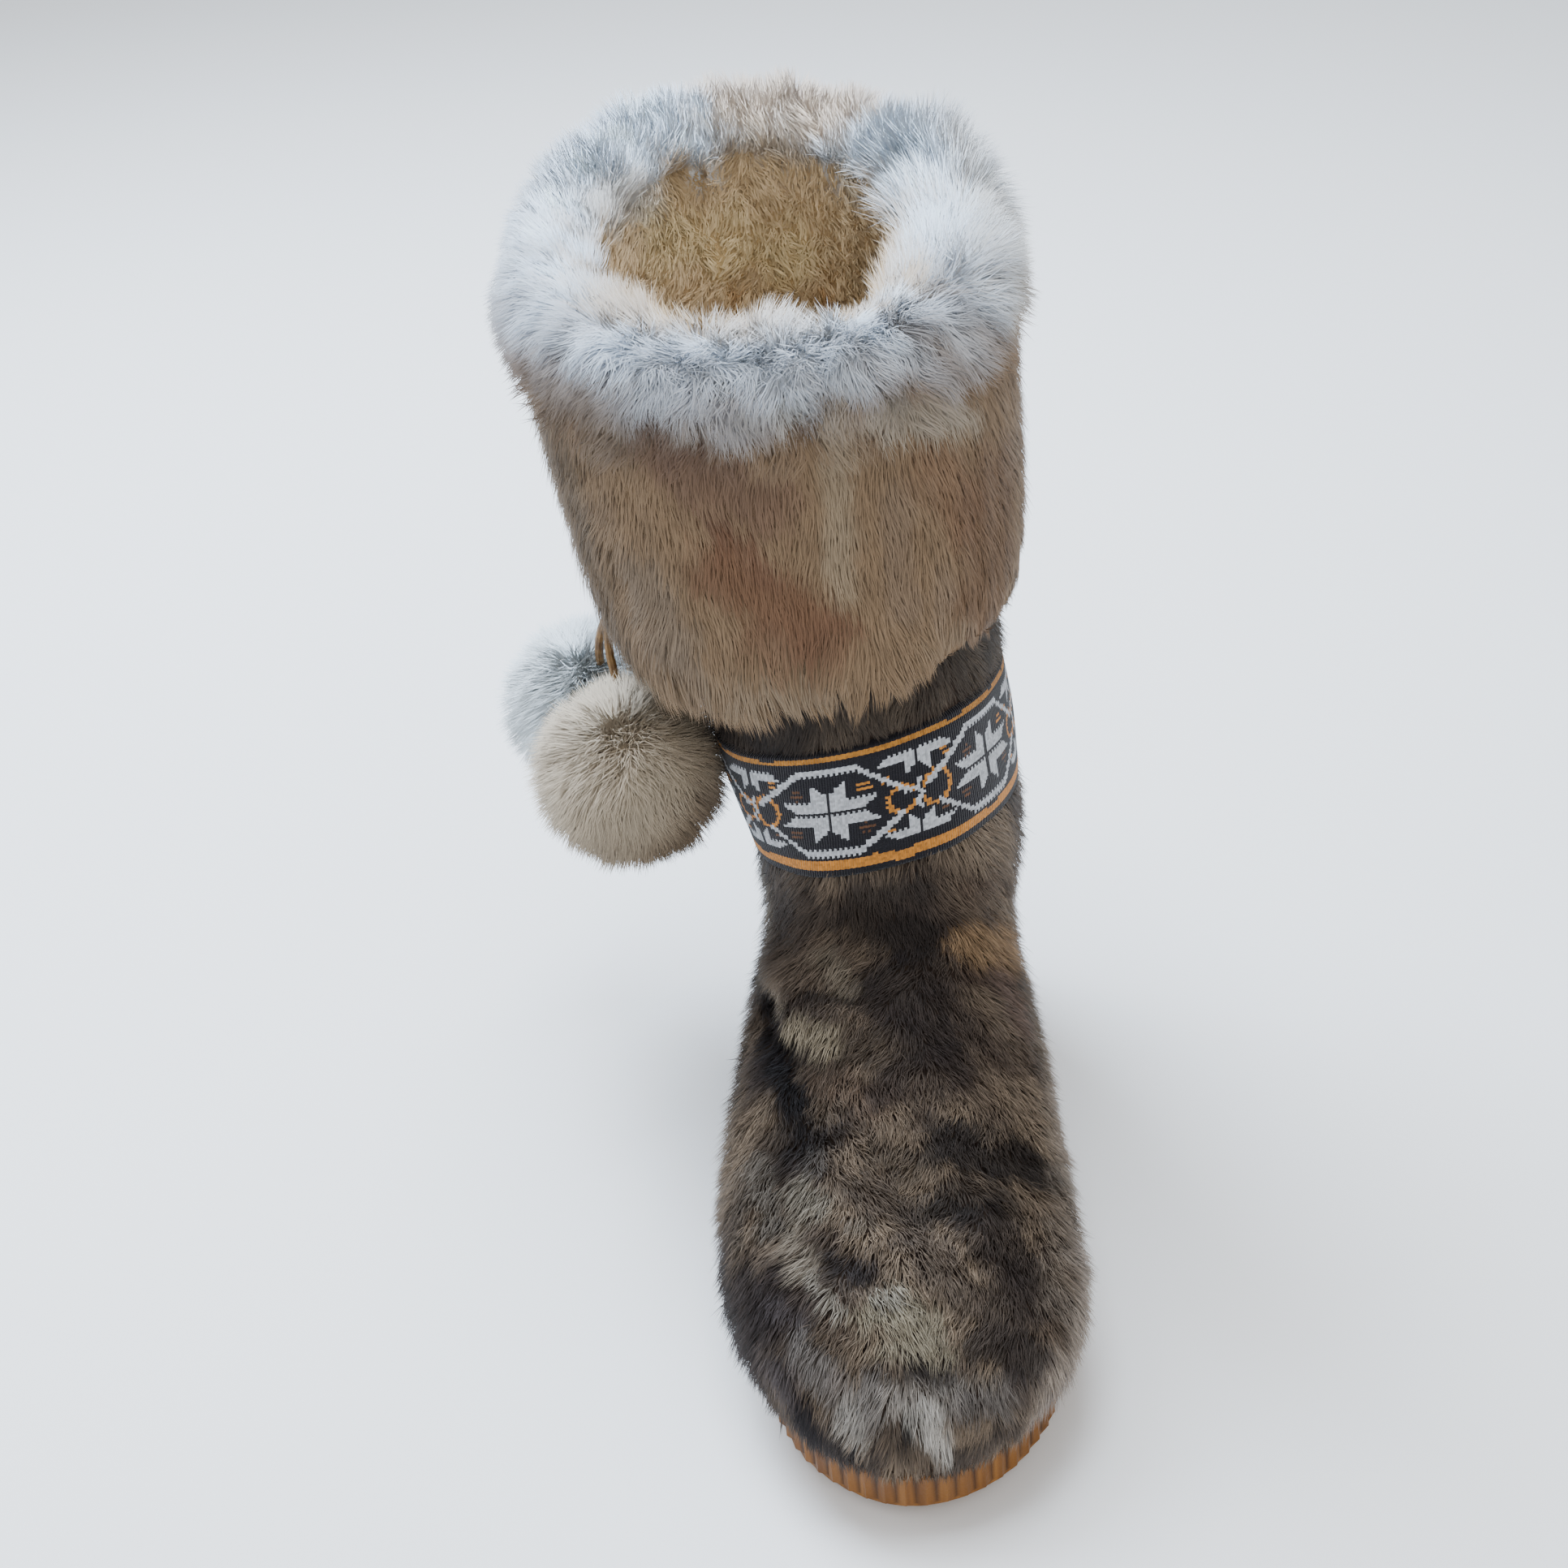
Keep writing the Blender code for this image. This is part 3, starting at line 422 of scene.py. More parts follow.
# Tanned hide, dark and matt: all that shows of it is a shade between the hairs.
hide, tree, shader = new_material("dark_hide", 0.95, 0.05)
place = add_node(tree, "ShaderNodeTexCoord").outputs["Object"]
grain = add_node(tree, "ShaderNodeTexNoise", Vector=place, Scale=120, Detail=4, Roughness=0.55).outputs["Fac"]
tone = add_node(tree, "ShaderNodeValToRGB", Fac=grain,
                stops=((0.3, "#1d1715"), (0.7, "#3c322b"))).outputs["Color"]
tree.links.new(tone, shader.inputs["Base Color"])

upper_skin = skin_from("upper", "upper_skin", 1, hide)
upper_skin.data.materials.append(fleece("lining_fleece", "#8a7353", "#c9b189"))
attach(upper_skin, "root")
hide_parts("upper")

# Strokes of hair colour on the foot, on its front and sides as the photograph shows them: from
# x, y, z to x, y, z and half the width in mm, colour and strength.
COAT_ROWS = (
    (50, -60, 45, 54, -150, 38, 17.0, "#84776a", 0.85),
    (54, -150, 38, 46, -212, 32, 13.0, "#8f8377", 0.90),
    (46, -70, 74, 50, -150, 50, 7.0, "#7f7263", 0.70),
    (-50, -130, 32, -44, -195, 32, 12.0, "#3f3734", 0.60),
    (-42, -42, 105, -41, -79, 85, 4.6, "#6d6353", 0.85),
    (-38, -84, 88, -33, -100, 88, 3.2, "#7d7262", 0.70),
    (-35, -63, 106, -18, -79, 112, 7.0, "#4a403a", 0.70),
    (-39, -71, 92, -23, -96, 97, 7.0, "#5d5044", 0.70),
    (-18, -90, 103, -11, -103, 97, 4.2, "#776d5e", 0.70),
    (-25, -101, 94, -10, -106, 95, 2.4, "#3a302b", 0.70),
    (-7, -82, 113, 12, -88, 106, 9.0, "#332b28", 0.75),
    (-9, -77, 122, 10, -78, 120, 3.7, "#3b3532", 0.60),
    (3, -100, 99, 13, -119, 88, 8.9, "#2b2527", 0.70),
    (25, -71, 116, 41, -40, 94, 5.5, "#5b4c40", 0.70),
    (41, -42, 86, 44, -75, 75, 4.5, "#6f5d4b", 0.80),
    (27, -86, 101, 42, -64, 82, 8.0, "#8a7053", 0.90),
    (27, -95, 96, 32, -96, 91, 4.3, "#4b3c33", 0.70),
    (35, -93, 88, 41, -98, 78, 6.4, "#66544a", 0.80),
    (34, -116, 81, 45, -109, 70, 6.9, "#52453c", 0.60),
    (49, -97, 59, 51, -131, 54, 3.2, "#7b6b58", 0.85),
    (53, -133, 48, 55, -167, 47, 2.3, "#7f766c", 0.85),
    (55, -168, 48, 52, -206, 33, 3.0, "#857b72", 0.85),
    (51, -207, 31, 42, -218, 29, 3.9, "#7a706a", 0.80),
    (-15, -116, 89, 6, -122, 87, 6.7, "#4a4037", 0.60),
    (-20, -127, 83, -5, -137, 81, 6.7, "#665547", 0.80),
    (0, -133, 83, 18, -124, 85, 7.7, "#362d2b", 0.60),
    (-34, -113, 82, -29, -137, 75, 5.7, "#1c171c", 0.95),
    (-41, -83, 84, -37, -111, 79, 3.2, "#221d20", 0.90),
    (-47, -85, 72, -51, -115, 60, 3.8, "#3a332f", 0.60),
    (-29, -109, 88, -16, -116, 89, 5.0, "#8a7f6b", 0.75),
    (-28, -146, 73, -17, -146, 76, 4.1, "#2a2425", 0.70),
    (18, -151, 75, 45, -151, 60, 8.6, "#1e1a1b", 0.84),
    (18, -170, 70, 32, -165, 68, 6.0, "#211d1d", 0.60),
    (-2, -156, 74, 8, -162, 73, 6.5, "#504539", 0.70),
    (-10, -166, 71, 10, -173, 70, 5.4, "#3a322e", 0.60),
    (-41, -146, 63, -35, -169, 61, 5.0, "#6d665d", 0.80),
    (-47, -144, 59, -46, -167, 53, 2.5, "#5f564d", 0.60),
    (-24, -150, 73, -22, -158, 71, 3.0, "#5f5a55", 0.70),
    (-27, -162, 68, -22, -169, 68, 5.5, "#7c7568", 0.85),
    (-28, -175, 64, -23, -187, 62, 4.4, "#7a7062", 0.85),
    (-22, -190, 62, -14, -203, 59, 1.9, "#8a8478", 0.70),
    (-43, -180, 52, -34, -203, 50, 3.9, "#363031", 0.55),
    (-34, -207, 47, -30, -216, 43, 2.9, "#1f1b1e", 0.80),
    (-28, -219, 41, -22, -225, 38, 3.3, "#242028", 0.70),
    (-34, -194, 54, -24, -203, 56, 3.4, "#4f494a", 0.60),
    (-26, -207, 53, -16, -221, 48, 4.7, "#6c6763", 0.75),
    (-14, -220, 50, -12, -227, 44, 3.7, "#6f6660", 0.60),
    (-14, -188, 64, -7, -193, 64, 3.6, "#393539", 0.60),
    (-11, -177, 68, -7, -178, 68, 2.4, "#6d675f", 0.50),
    (8, -181, 68, 15, -194, 64, 7.3, "#544a42", 0.70),
    (30, -177, 66, 43, -196, 54, 9.0, "#2e2726", 0.75),
    (31, -210, 54, 40, -212, 49, 7.1, "#2b2627", 0.70),
    (24, -201, 61, 31, -201, 57, 5.7, "#3f3733", 0.50),
    (-1, -206, 61, 10, -212, 57, 8.0, "#837b69", 0.95),
    (-3, -200, 62, 0, -201, 62, 2.9, "#8f8b81", 0.60),
    (7, -220, 52, 17, -222, 51, 3.3, "#2f2b2c", 0.80),
    (-8, -226, 48, 30, -224, 46, 5.5, "#857f78", 0.80),
    (-5, -221, 51, -5, -229, 43, 3.3, "#6f6a66", 0.60),
    (5, -229, 44, 4, -233, 37, 1.4, "#241d1a", 0.85),
    (9, -229, 44, 14, -232, 36, 5.0, "#9c9891", 0.85),
    (-12, -226, 45, -8, -231, 37, 3.6, "#8a857e", 0.85),
    (-26, -223, 37, -13, -230, 28, 6.0, "#231e23", 0.85),
    (20, -233, 32, 36, -226, 33, 4.2, "#332c2c", 0.60),
    (-3, -233, 34, -6, -232, 26, 2.3, "#332a28", 0.70),
    (23, -227, 45, 35, -221, 45, 5.2, "#3a3537", 0.50),
    (55, -150, 44, 54, -200, 38, 5.0, "#8f8377", 0.85),
    (50, -97, 58, 53, -135, 52, 5.0, "#85776a", 0.80),
    (50, -148, 57, 47, -196, 50, 5.0, "#7a6f63", 0.50),
    (-36, -205, 44, -30, -214, 43, 5.0, "#5d5555", 0.60),
)
# Creases of the hide, in the same way: soft troughs and ridges, with their depth or height in mm.
CREASE_ROWS = (
    (-42, -67, 84, -38, -94, 85, 1.9, -2.5),
    (-38, -94, 85, -30, -116, 84, 2.1, -3.5),
    (-30, -116, 84, -16, -124, 85, 2.1, -2.8),
    (-39, -78, 89, -31, -104, 89, 3.5, 2.2),
    (-29, -108, 89, -16, -115, 90, 3.7, 3.0),
    (-29, -122, 82, -26, -147, 74, 4.1, -2.4),
    (-25, -101, 94, -7, -106, 96, 2.1, -1.6),
    (-15, -111, 92, 8, -111, 93, 2.6, 1.2),
    (3, -176, 69, 34, -170, 66, 3.0, -1.8),
    (5, -184, 67, 25, -181, 66, 3.4, 1.2),
    (-15, -189, 64, -7, -193, 64, 2.7, -2.0),
    (5, -229, 44, 4, -233, 36, 1.2, -1.6),
    (40, -50, 86, 47, -105, 66, 2.5, -1.2),
    (-36, -141, 69, -32, -170, 63, 4.0, -1.5),
    (10, -221, 52, 18, -222, 51, 2.3, -1.2),
    (-7, -82, 113, 14, -88, 106, 4.3, -1.4),
)


def crease_height(places):
    """Height in mm that the creases add to the hide."""
    height = np.zeros(len(places))
    for *ends, half, rise in CREASE_ROWS:
        height += 1.4 * rise * np.exp(-0.7 * stroke_share(places, ends, half + 1.0) ** 2)
    return height


# The middle line in m: where the shaft and its outward lean start, how much it leans to each metre
# of height, its y, and the foot's line with its height and its end at the toe.
SHAFT_STARTS, LEAN_STARTS, SHAFT_LEAN, SHAFT_MIDDLE = 0.1, 0.105, -0.14, -0.017
SPINE_HEIGHT, SPINE_TOE = 0.045, -0.19


def off_spine(centre):
    """From the middle line of the foot, or of the leaning shaft above it, to places on the wall."""
    high = centre[:, 2] > SHAFT_STARTS
    return centre - np.column_stack((
        SHAFT_LEAN * np.maximum(centre[:, 2] - LEAN_STARTS, 0),
        np.where(high, SHAFT_MIDDLE, np.clip(centre[:, 1], SPINE_TOE, 0.0)),
        np.where(high, centre[:, 2], SPINE_HEIGHT)))


_, places, normals = mesh_arrays(upper_skin)
walls = upper_skin.data.polygons
centres, facing = np.empty(len(walls) * 3, np.float32), np.empty(len(walls) * 3, np.float32)
walls.foreach_get("center", centres)
walls.foreach_get("normal", facing)
inner = np.sum(facing.reshape(-1, 3) * off_spine(centres.reshape(-1, 3)), axis=1) < 0
walls.foreach_set("material_index", inner.astype(np.int32))
places += normals * (crease_height(places) * 0.001)[:, None]
upper_skin.data.vertices.foreach_set("co", places.reshape(-1).astype(np.float32))
upper_skin.data.update()

# Hair of a dark hide, straight and short, with a low gloss along it. The real hair is finer than
# 0.1 mm. Here it is 0.44 mm wide, which is as coarse as it needs to be to show.
coat = hair_material("body_fur", 0.6, 0.16, 0.03)
FUR_LENGTH = 0.0080
FUR_WIDTH = 0.00044
FUR_ENDS = 0.215                # the height where the cuff covers the hide
FUR_SPLIT = -0.07               # y where the front mesh of hair meets the back one

# The woven band's slanting middle line: a point on it, and how it rises to the front and inwards.
BAND_MIDDLE = (-0.0048, -0.0179, 0.138)
RISE_FRONT = math.tan(math.radians(10))
RISE_INNER = math.tan(math.radians(10.5))
BARE_BELOW, BARE_ABOVE = -0.0215, 0.0250    # no hair between these heights from that line


def above_band(places):
    """Height above the middle line of the woven band round the ankle."""
    rise = (BAND_MIDDLE[1] - places[:, 1]) * RISE_FRONT + (places[:, 0] - BAND_MIDDLE[0]) * RISE_INNER
    return places[:, 2] - BAND_MIDDLE[2] - rise


def outside_upper(centre, face):
    """1 on the outside of the wall where neither cuff nor band covers it, 0 elsewhere."""
    seen = (centre[:, 2] < FUR_ENDS) & (np.sum(face * off_spine(centre), axis=1) > 0)
    past = above_band(centre)
    return np.where(seen & ((past < BARE_BELOW) | (past > BARE_ABOVE)), 1.0, 0.0)


def coat_tone(root):
    """The hide's own mottling, dark on the outer side and paler inside, then the strokes."""
    dark, pale = (np.array(colour(code)) for code in ("#3a302c", "#7d6d5b"))
    share = soft(ripple(root, 0.060, 5) + 0.5 * ripple(root, 0.022, 15) + 9.0 * root[:, 0], -1.3, 1.3)
    tone = paint(root, dark + (pale - dark) * share[:, None], COAT_ROWS, 3)
    shine = np.maximum(tone @ np.array([0.21, 0.72, 0.07]), 0.004)
    tone *= np.where(above_band(root) > 0, 0.5, 1)[:, None]
    return 0.78 * tone * ((shine / 0.070) ** 0.27)[:, None]


def grow_upper(name, count, front, seed):
    """The hide's hair in front of or behind FUR_SPLIT, combed down the shaft and to the toe."""
    def share(centre, face):
        return outside_upper(centre, face) * ((centre[:, 1] < FUR_SPLIT) == front)

    root, normal, rng = scatter(upper_skin, count, share, seed)
    height = crease_height(root)
    # Painted shade and light: hair is darker in the creases' troughs and lighter on their ridges.
    tone = coat_tone(root) * (1 + 0.16 * np.clip(height, -3, 1))[:, None]
    tone *= (1 + 0.14 * ripple(root, 0.006, 6))[:, None]
    tone = np.clip(tone * rng.uniform(0.68, 1.4, len(root))[:, None], 0, 1)
    foot = soft(root[:, 2], 0.12, 0.08)[:, None]
    flow = along_surface(normal, (0, 0, -1)) * (1 - foot) + along_surface(normal, (0, -1, -0.7)) * foot
    turn = ripple(root, 0.03, 8)[:, None]
    flow = unit(flow + np.cross(normal, flow) * turn * 0.6)
    length = FUR_LENGTH * (1 + 0.2 * ripple(root, 0.012, 7)) * rng.uniform(0.75, 1.15, len(root))
    past = above_band(root)
    length *= np.where(past > 0, 0.35 + 0.65 * soft(past, 0.024, 0.034), 1)
    return grow(name, coat, root, normal, flow, length, FUR_WIDTH, rng, lift=0.42, clump=0.25,
                clump_size=0.004, tip=tone, base=tone * 0.62, stray=0.16)


fur_front = grow_upper("fur_front", 65000, True, 11)
fur_back = grow_upper("fur_back", 46000, False, 12)


# Band: a ribbon woven in a traditional northern pattern, black with white and orange, sewn round
# the ankle. Each stitch is one small face in its own colour, and its yarn is raised by bump.

BAND_HALF = 0.0236
# The pattern's sizes are in mm. A stitch is as large as it needs to be to show, since the real one
# is smaller. The pattern repeats from star to star, and lies a little above the band's middle.
STITCH = 0.9
REPEAT = 60.0
PATTERN_RISE = 1.5
FRONT_STAR = math.radians(-10.8)    # where one star stands, from the front of the ankle
# Black, white, orange, brown, and the duller orange of the upper edge.
YARNS = ("#14131a", "#b4b6ba", "#bb7a30", "#5b3b25", "#a8712c")

# White lines round a star: from u, v to u, v, and half the line's width.
HEXAGON_ROWS = (
    (-9.5, 15.8, 9.5, 15.8, 1.15),
    (-9.5, -15.8, 9.5, -15.8, 1.15),
    (9.5, 15.8, 26.5, 2.4, 0.80),
    (9.5, -15.8, 24.0, -5.0, 1.15),
    (-26.5, 3.4, -9.5, 15.8, 1.15),
    (-23.0, -5.4, -9.5, -15.8, 0.80),
)
# White zigzag where two of them cross.
CROSSING_ROWS = (
    (0.4, 5.2, -0.9, 2.4, 0.75),
    (-0.9, 2.4, 0.9, 0.0, 0.75),
    (0.9, 0.0, -0.9, -2.4, 0.75),
    (-0.9, -2.4, 0.2, -4.8, 0.75),
    (-2.6, 3.0, -4.6, 2.2, 0.70),
)
# One quarter of a star: its flat and its steep petal.
PETALS = (
    ((0.7, 0.7), (11.8, 0.7), (17.2, 4.8), (5.6, 4.8)),
    ((0.7, 0.7), (0.7, 7.2), (5.6, 11.4), (5.6, 4.8)),
)
# Orange rings beside a crossing: u, v, radius along u and along v.
RING_ROWS = ((-5.7, 0.0, 4.9, 4.7), (6.0, 0.3, 5.2, 5.8))
# Dots in the forks: u, v, radius, yarn. The first ones belong to the star, the others to a crossing.
STAR_DOTS = ((12.0, 7.8, 2.5, 2), (-10.5, 7.4, 2.5, 3), (12.0, -7.2, 2.5, 3), (-12.4, -7.6, 2.5, 3))
CROSSING_DOTS = ((-11.6, 9.0, 2.0, 2), (10.2, 11.8, 1.8, 2), (-10.4, -11.4, 1.7, 2), (9.0, -8.6, 1.5, 3))


def inside_shape(u, v, corners):
    """True inside a convex shape whose corners go round it."""
    signs = []
    for (ax, ay), (bx, by) in zip(corners, corners[1:] + corners[:1]):
        signs.append((bx - ax) * (v - ay) - (by - ay) * (u - ax))
    signs = np.array(signs)
    return np.all(signs >= 0, axis=0) | np.all(signs <= 0, axis=0)


def weave(u, v):
    """Number of the yarn at places on the ribbon."""
    star = (u + REPEAT / 2) % REPEAT - REPEAT / 2
    crossing = u % REPEAT - REPEAT / 2
    checker = (np.floor(u / STITCH) + np.floor(v / STITCH)) % 2 == 0
    yarn = np.zeros(u.shape, int)
    for radii, centre in ((STAR_DOTS, star), (CROSSING_DOTS, crossing)):
        for cu, cv, radius, code in radii:
            spot = (np.hypot(centre - cu, (v - cv) * 1.25) < radius) & checker
            yarn[spot] = code
    off = [np.hypot((crossing - cu) / ru, (v - cv) / rv) for cu, cv, ru, rv in RING_ROWS]
    near = np.minimum(off[0], off[1])
    ring = (np.abs(near - 1) < 0.19) & (np.abs(crossing) > 1.2)
    yarn[ring & (checker | (np.abs(near - 1) < 0.10))] = 2
    for rows, centre in ((HEXAGON_ROWS, star), (CROSSING_ROWS, crossing)):
        for au, av, bu, bv, half in rows:
            du, dv = bu - au, bv - av
            t = np.clip(((centre - au) * du + (v - av) * dv) / (du * du + dv * dv), 0, 1)
            yarn[np.hypot(centre - au - t * du, v - av - t * dv) < half] = 1
    for petal in PETALS:
        yarn[inside_shape(np.abs(star), np.abs(v), petal)] = 1
        yarn[inside_shape(np.abs(crossing) / 0.82, (17.2 - v) / 0.82, petal) & (v < 17.2)] = 1
        yarn[inside_shape(np.abs(crossing) / 0.76, (v + 15.4) / 0.76, petal) & (v > -15.4)] = 1
    return yarn


def ribbon_grid():
    """Places on the band's outer face, in rows from its low to its high edge."""
    corners, places, _ = mesh_arrays(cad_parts["band"])
    skin = BVHTree.FromPolygons(places.tolist(), corners.tolist())
    turns = np.linspace(-math.pi, math.pi, 241)
    lifts = np.linspace(-BAND_HALF, BAND_HALF, 13)
    grid = np.zeros((len(lifts), len(turns), 3))
    for j, lift in enumerate(lifts):
        for i, turn in enumerate(turns):
            way = Vector((math.sin(turn), -math.cos(turn),
                          math.cos(turn) * RISE_FRONT + math.sin(turn) * RISE_INNER))
            hit, near = None, lift
            while hit is None:
                hit = skin.ray_cast(Vector(BAND_MIDDLE) + Vector((0, 0, near)) + way * 0.12, -way)[0]
                near *= 0.985
            grid[j, i] = hit
    for _ in range(6):
        inner = grid[:, :-1]
        grid[:, :-1] = 0.5 * inner + 0.25 * (np.roll(inner, 1, axis=1) + np.roll(inner, -1, axis=1))
        grid[:, -1] = grid[:, 0]
    return turns, lifts, grid


turns, lifts, grid = ribbon_grid()
steps = np.linalg.norm(np.diff(grid[6], axis=0), axis=1)
run = np.concatenate(([0], np.cumsum(steps)))
columns, rows = round(run[-1] * 1000 / STITCH), round(2 * BAND_HALF * 1000 / STITCH)
at_column = np.interp(np.linspace(0, run[-1], columns + 1), run, np.arange(len(run)))
at_row = np.linspace(0, len(lifts) - 1, rows + 1)
low_i = np.minimum(at_column.astype(int), len(run) - 2)
low_j = np.minimum(at_row.astype(int), len(lifts) - 2)
share_i, share_j = (at_column - low_i)[None, :, None], (at_row - low_j)[:, None, None]
places = ((1 - share_j) * ((1 - share_i) * grid[low_j][:, low_i] + share_i * grid[low_j][:, low_i + 1])
          + share_j * ((1 - share_i) * grid[low_j + 1][:, low_i] + share_i * grid[low_j + 1][:, low_i + 1]))
middle = np.array(BAND_MIDDLE)
outward = places - middle
outward[..., 2] = 0
outward /= np.linalg.norm(outward, axis=2)[..., None]
across = np.linspace(-1, 1, rows + 1)[:, None, None]
uneven = ripple(places.reshape(-1, 3), 0.03, 41).reshape(places.shape[:2])[..., None]
swell = 0.0006 * (1 - across ** 4) + 0.0004 * uneven
places = places + outward * (swell + 0.0002)
places[:, ::2, 2] += 0.00022
low_edge = places[0] - outward[0] * 0.0022 + np.array([0, 0, -0.0006])
high_edge = places[-1] - outward[-1] * 0.0022 + np.array([0, 0, 0.0006])
points = np.concatenate((low_edge[None], places, high_edge[None]))[:, :columns]
star_run = np.interp(FRONT_STAR, turns, run) * 1000
u = (np.arange(columns) + 0.5) * run[-1] / columns * 1000 - star_run
v = (np.arange(rows) + 0.5) * 2 * BAND_HALF / rows * 1000 - BAND_HALF * 1000
uu, vv = np.meshgrid(u, v)
yarn = weave(uu, vv - PATTERN_RISE + (np.arange(columns) % 2 * 0.45)[None, :])
flat_places = np.column_stack((uu.ravel(), vv.ravel(), 0 * uu.ravel())) * 0.001
wander = ripple(flat_places, 0.02, 44).reshape(uu.shape)
# The selvedges: an orange line along each edge, and black outside it.
yarn[(vv < -17.4 + 0.5 * wander) & (vv > -21.0 + 0.4 * wander)] = 2
yarn[vv <= -21.0 + 0.4 * wander] = 0
yarn[vv > 19.6] = 0
yarn[(vv > 20.9) & (vv < 22.4 + 0.3 * wander)] = 4
yarn = np.concatenate((np.zeros((1, columns), int), yarn, np.zeros((1, columns), int)))
high = len(yarn)
index = np.arange((high + 1) * columns).reshape(high + 1, columns)
after = np.roll(index, -1, axis=1)
quads = np.stack((index[:-1], after[:-1], after[1:], index[1:]), axis=-1).reshape(-1, 4)
ribbon_mesh = bpy.data.meshes.new("woven_band")
ribbon_mesh.from_pydata(points.reshape(-1, 3).tolist(), [], quads.tolist())
shades = np.array([colour(code) for code in YARNS])[yarn.reshape(-1)]
rng = np.random.default_rng(45)
shades = shades * rng.uniform(0.72, 1.2, (len(shades), 1))
rgba = np.ones((len(shades), 4, 4), np.float32)
rgba[:, :, :3] = np.clip(shades, 0, 1)[:, None, :]
yarn_tone = ribbon_mesh.color_attributes.new("yarn", "FLOAT_COLOR", "CORNER")
yarn_tone.data.foreach_set("color", rgba.reshape(-1))
layer = ribbon_mesh.uv_layers.new(name="weave")
flat = np.stack(np.broadcast_arrays(np.arange(columns)[None, :, None] + np.array([0, 1, 1, 0]),
                                    np.arange(high)[:, None, None] + np.array([0, 0, 1, 1])), axis=-1)
layer.data.foreach_set("uv", flat.reshape(-1).astype(np.float32))
for face in ribbon_mesh.polygons:
    face.use_smooth = True

# Dyed wool and cotton yarn, woven: matt, with a rib to each stitch and a little fuzz.
yarn_material, tree, shader = new_material("woven_yarn", 0.85, 0.15)
dye = add_node(tree, "ShaderNodeAttribute", {"attribute_name": "yarn"})
tree.links.new(dye.outputs["Color"], shader.inputs["Base Color"])
woven_uv = add_node(tree, "ShaderNodeUVMap", {"uv_map": "weave"}).outputs["UV"]
ribs = add_node(tree, "ShaderNodeTexWave", {"wave_type": "BANDS", "bands_direction": "X"}, Vector=woven_uv,
                Scale=0.314, Distortion=1.2, Detail=1.0)
fuzz = add_node(tree, "ShaderNodeTexNoise", Vector=woven_uv, Scale=1.6, Detail=3, Roughness=0.55).outputs["Fac"]
height = add_node(tree, "ShaderNodeMath", {"operation": "ADD"}, i0=ribs.outputs["Fac"], i1=fuzz).outputs[0]
bump = add_node(tree, "ShaderNodeBump", Strength=0.7, Distance=0.0005, Height=height)
tree.links.new(bump.outputs["Normal"], shader.inputs["Normal"])
shader.inputs["Sheen Weight"].default_value = 0.15
ribbon_mesh.materials.append(yarn_material)
woven_band = bpy.data.objects.new("woven_band", ribbon_mesh)
bpy.context.scene.collection.objects.link(woven_band)
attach(woven_band, "root")
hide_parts("band")


# Cuff: the top of the boot's sheepskin lining, turned down over the shaft. Its wool is short and
# tan inside, white and fluffy on the roll, and combed down in brown locks on the flap.

# The close undercoat of the sheepskin: matt, lumpy, and of the same colour as the wool over it.
cuff_hide, tree, shader = new_material("cuff_wool_ground", 0.95, 0.05)
ground = add_node(tree, "ShaderNodeAttribute", {"attribute_name": "coat"})
tree.links.new(ground.outputs["Color"], shader.inputs["Base Color"])
place = add_node(tree, "ShaderNodeTexCoord").outputs["Object"]
lumps = add_node(tree, "ShaderNodeTexNoise", Vector=place, Scale=380, Detail=5, Roughness=0.7).outputs["Fac"]
bump = add_node(tree, "ShaderNodeBump", Strength=0.9, Distance=0.0015, Height=lumps)
tree.links.new(bump.outputs["Normal"], shader.inputs["Normal"])


def sunk(thing, depth):
    """Moves a skin in along its normals, so that hair stands up to where the solid's face was."""
    _, places, normals = mesh_arrays(thing)
    places -= normals * depth
    thing.data.vertices.foreach_set("co", places.reshape(-1).astype(np.float32))
    thing.data.update()


CUFF_SUNK = 0.0030
cuff_skin = skin_from("cuff", "cuff_skin", 1, cuff_hide)
sunk(cuff_skin, CUFF_SUNK)
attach(cuff_skin, "root")
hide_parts("cuff")

corners, places, _ = mesh_arrays(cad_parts["upper"])
shaft_wall = BVHTree.FromPolygons(places.tolist(), corners.tolist())

COLLAR_LEAN, COLLAR_MIDDLE = -0.146, -0.012     # the shaft's axis up at the cuff
RIM_HEIGHT, RIM_RISE = 0.322, 0.21              # the roll's top line at y = 0, and its rise to the back


def off_shaft(places):
    """Level direction away from the shaft's axis, which leans outwards."""
    axis_x = COLLAR_LEAN * (places[:, 2] - LEAN_STARTS)
    return unit(places - np.column_stack((axis_x, np.full(len(places), COLLAR_MIDDLE), places[:, 2])))


def below_rim(places):
    """How far places lie below the roll's top line."""
    return RIM_HEIGHT + RIM_RISE * places[:, 1] - places[:, 2]


def inside_shaft(places):
    """1 where the shaft's wall lies further out than the place, 0 outside the shaft."""
    nearest = np.array([shaft_wall.find_nearest(Vector(place))[0] for place in places])
    return np.where(np.sum((nearest - places) * off_shaft(places), axis=1) > 0, 1.0, 0.0)


# Where each kind of wool grows, as a share from 0 to 1.
def flap_share(centre, face):
    facing = np.sum(face * off_shaft(centre), axis=1)
    out = (facing > 0.1) | ((face[:, 2] < -0.3) & (facing > -0.6))
    return out * (1 - inside_shaft(centre)) * soft(below_rim(centre), 0.000, 0.020)


def roll_share(centre, face):
    facing = np.sum(face * off_shaft(centre), axis=1)
    low = soft(below_rim(centre), 0.028, 0.010)
    return low * np.where((facing < -0.85) & (below_rim(centre) > 0.012), 0.0, 1.0)


def lining_share(centre, face):
    facing = np.sum(face * off_shaft(centre), axis=1)
    return inside_shaft(centre) * (facing < 0.3) * soft(below_rim(centre), 0.000, 0.012)
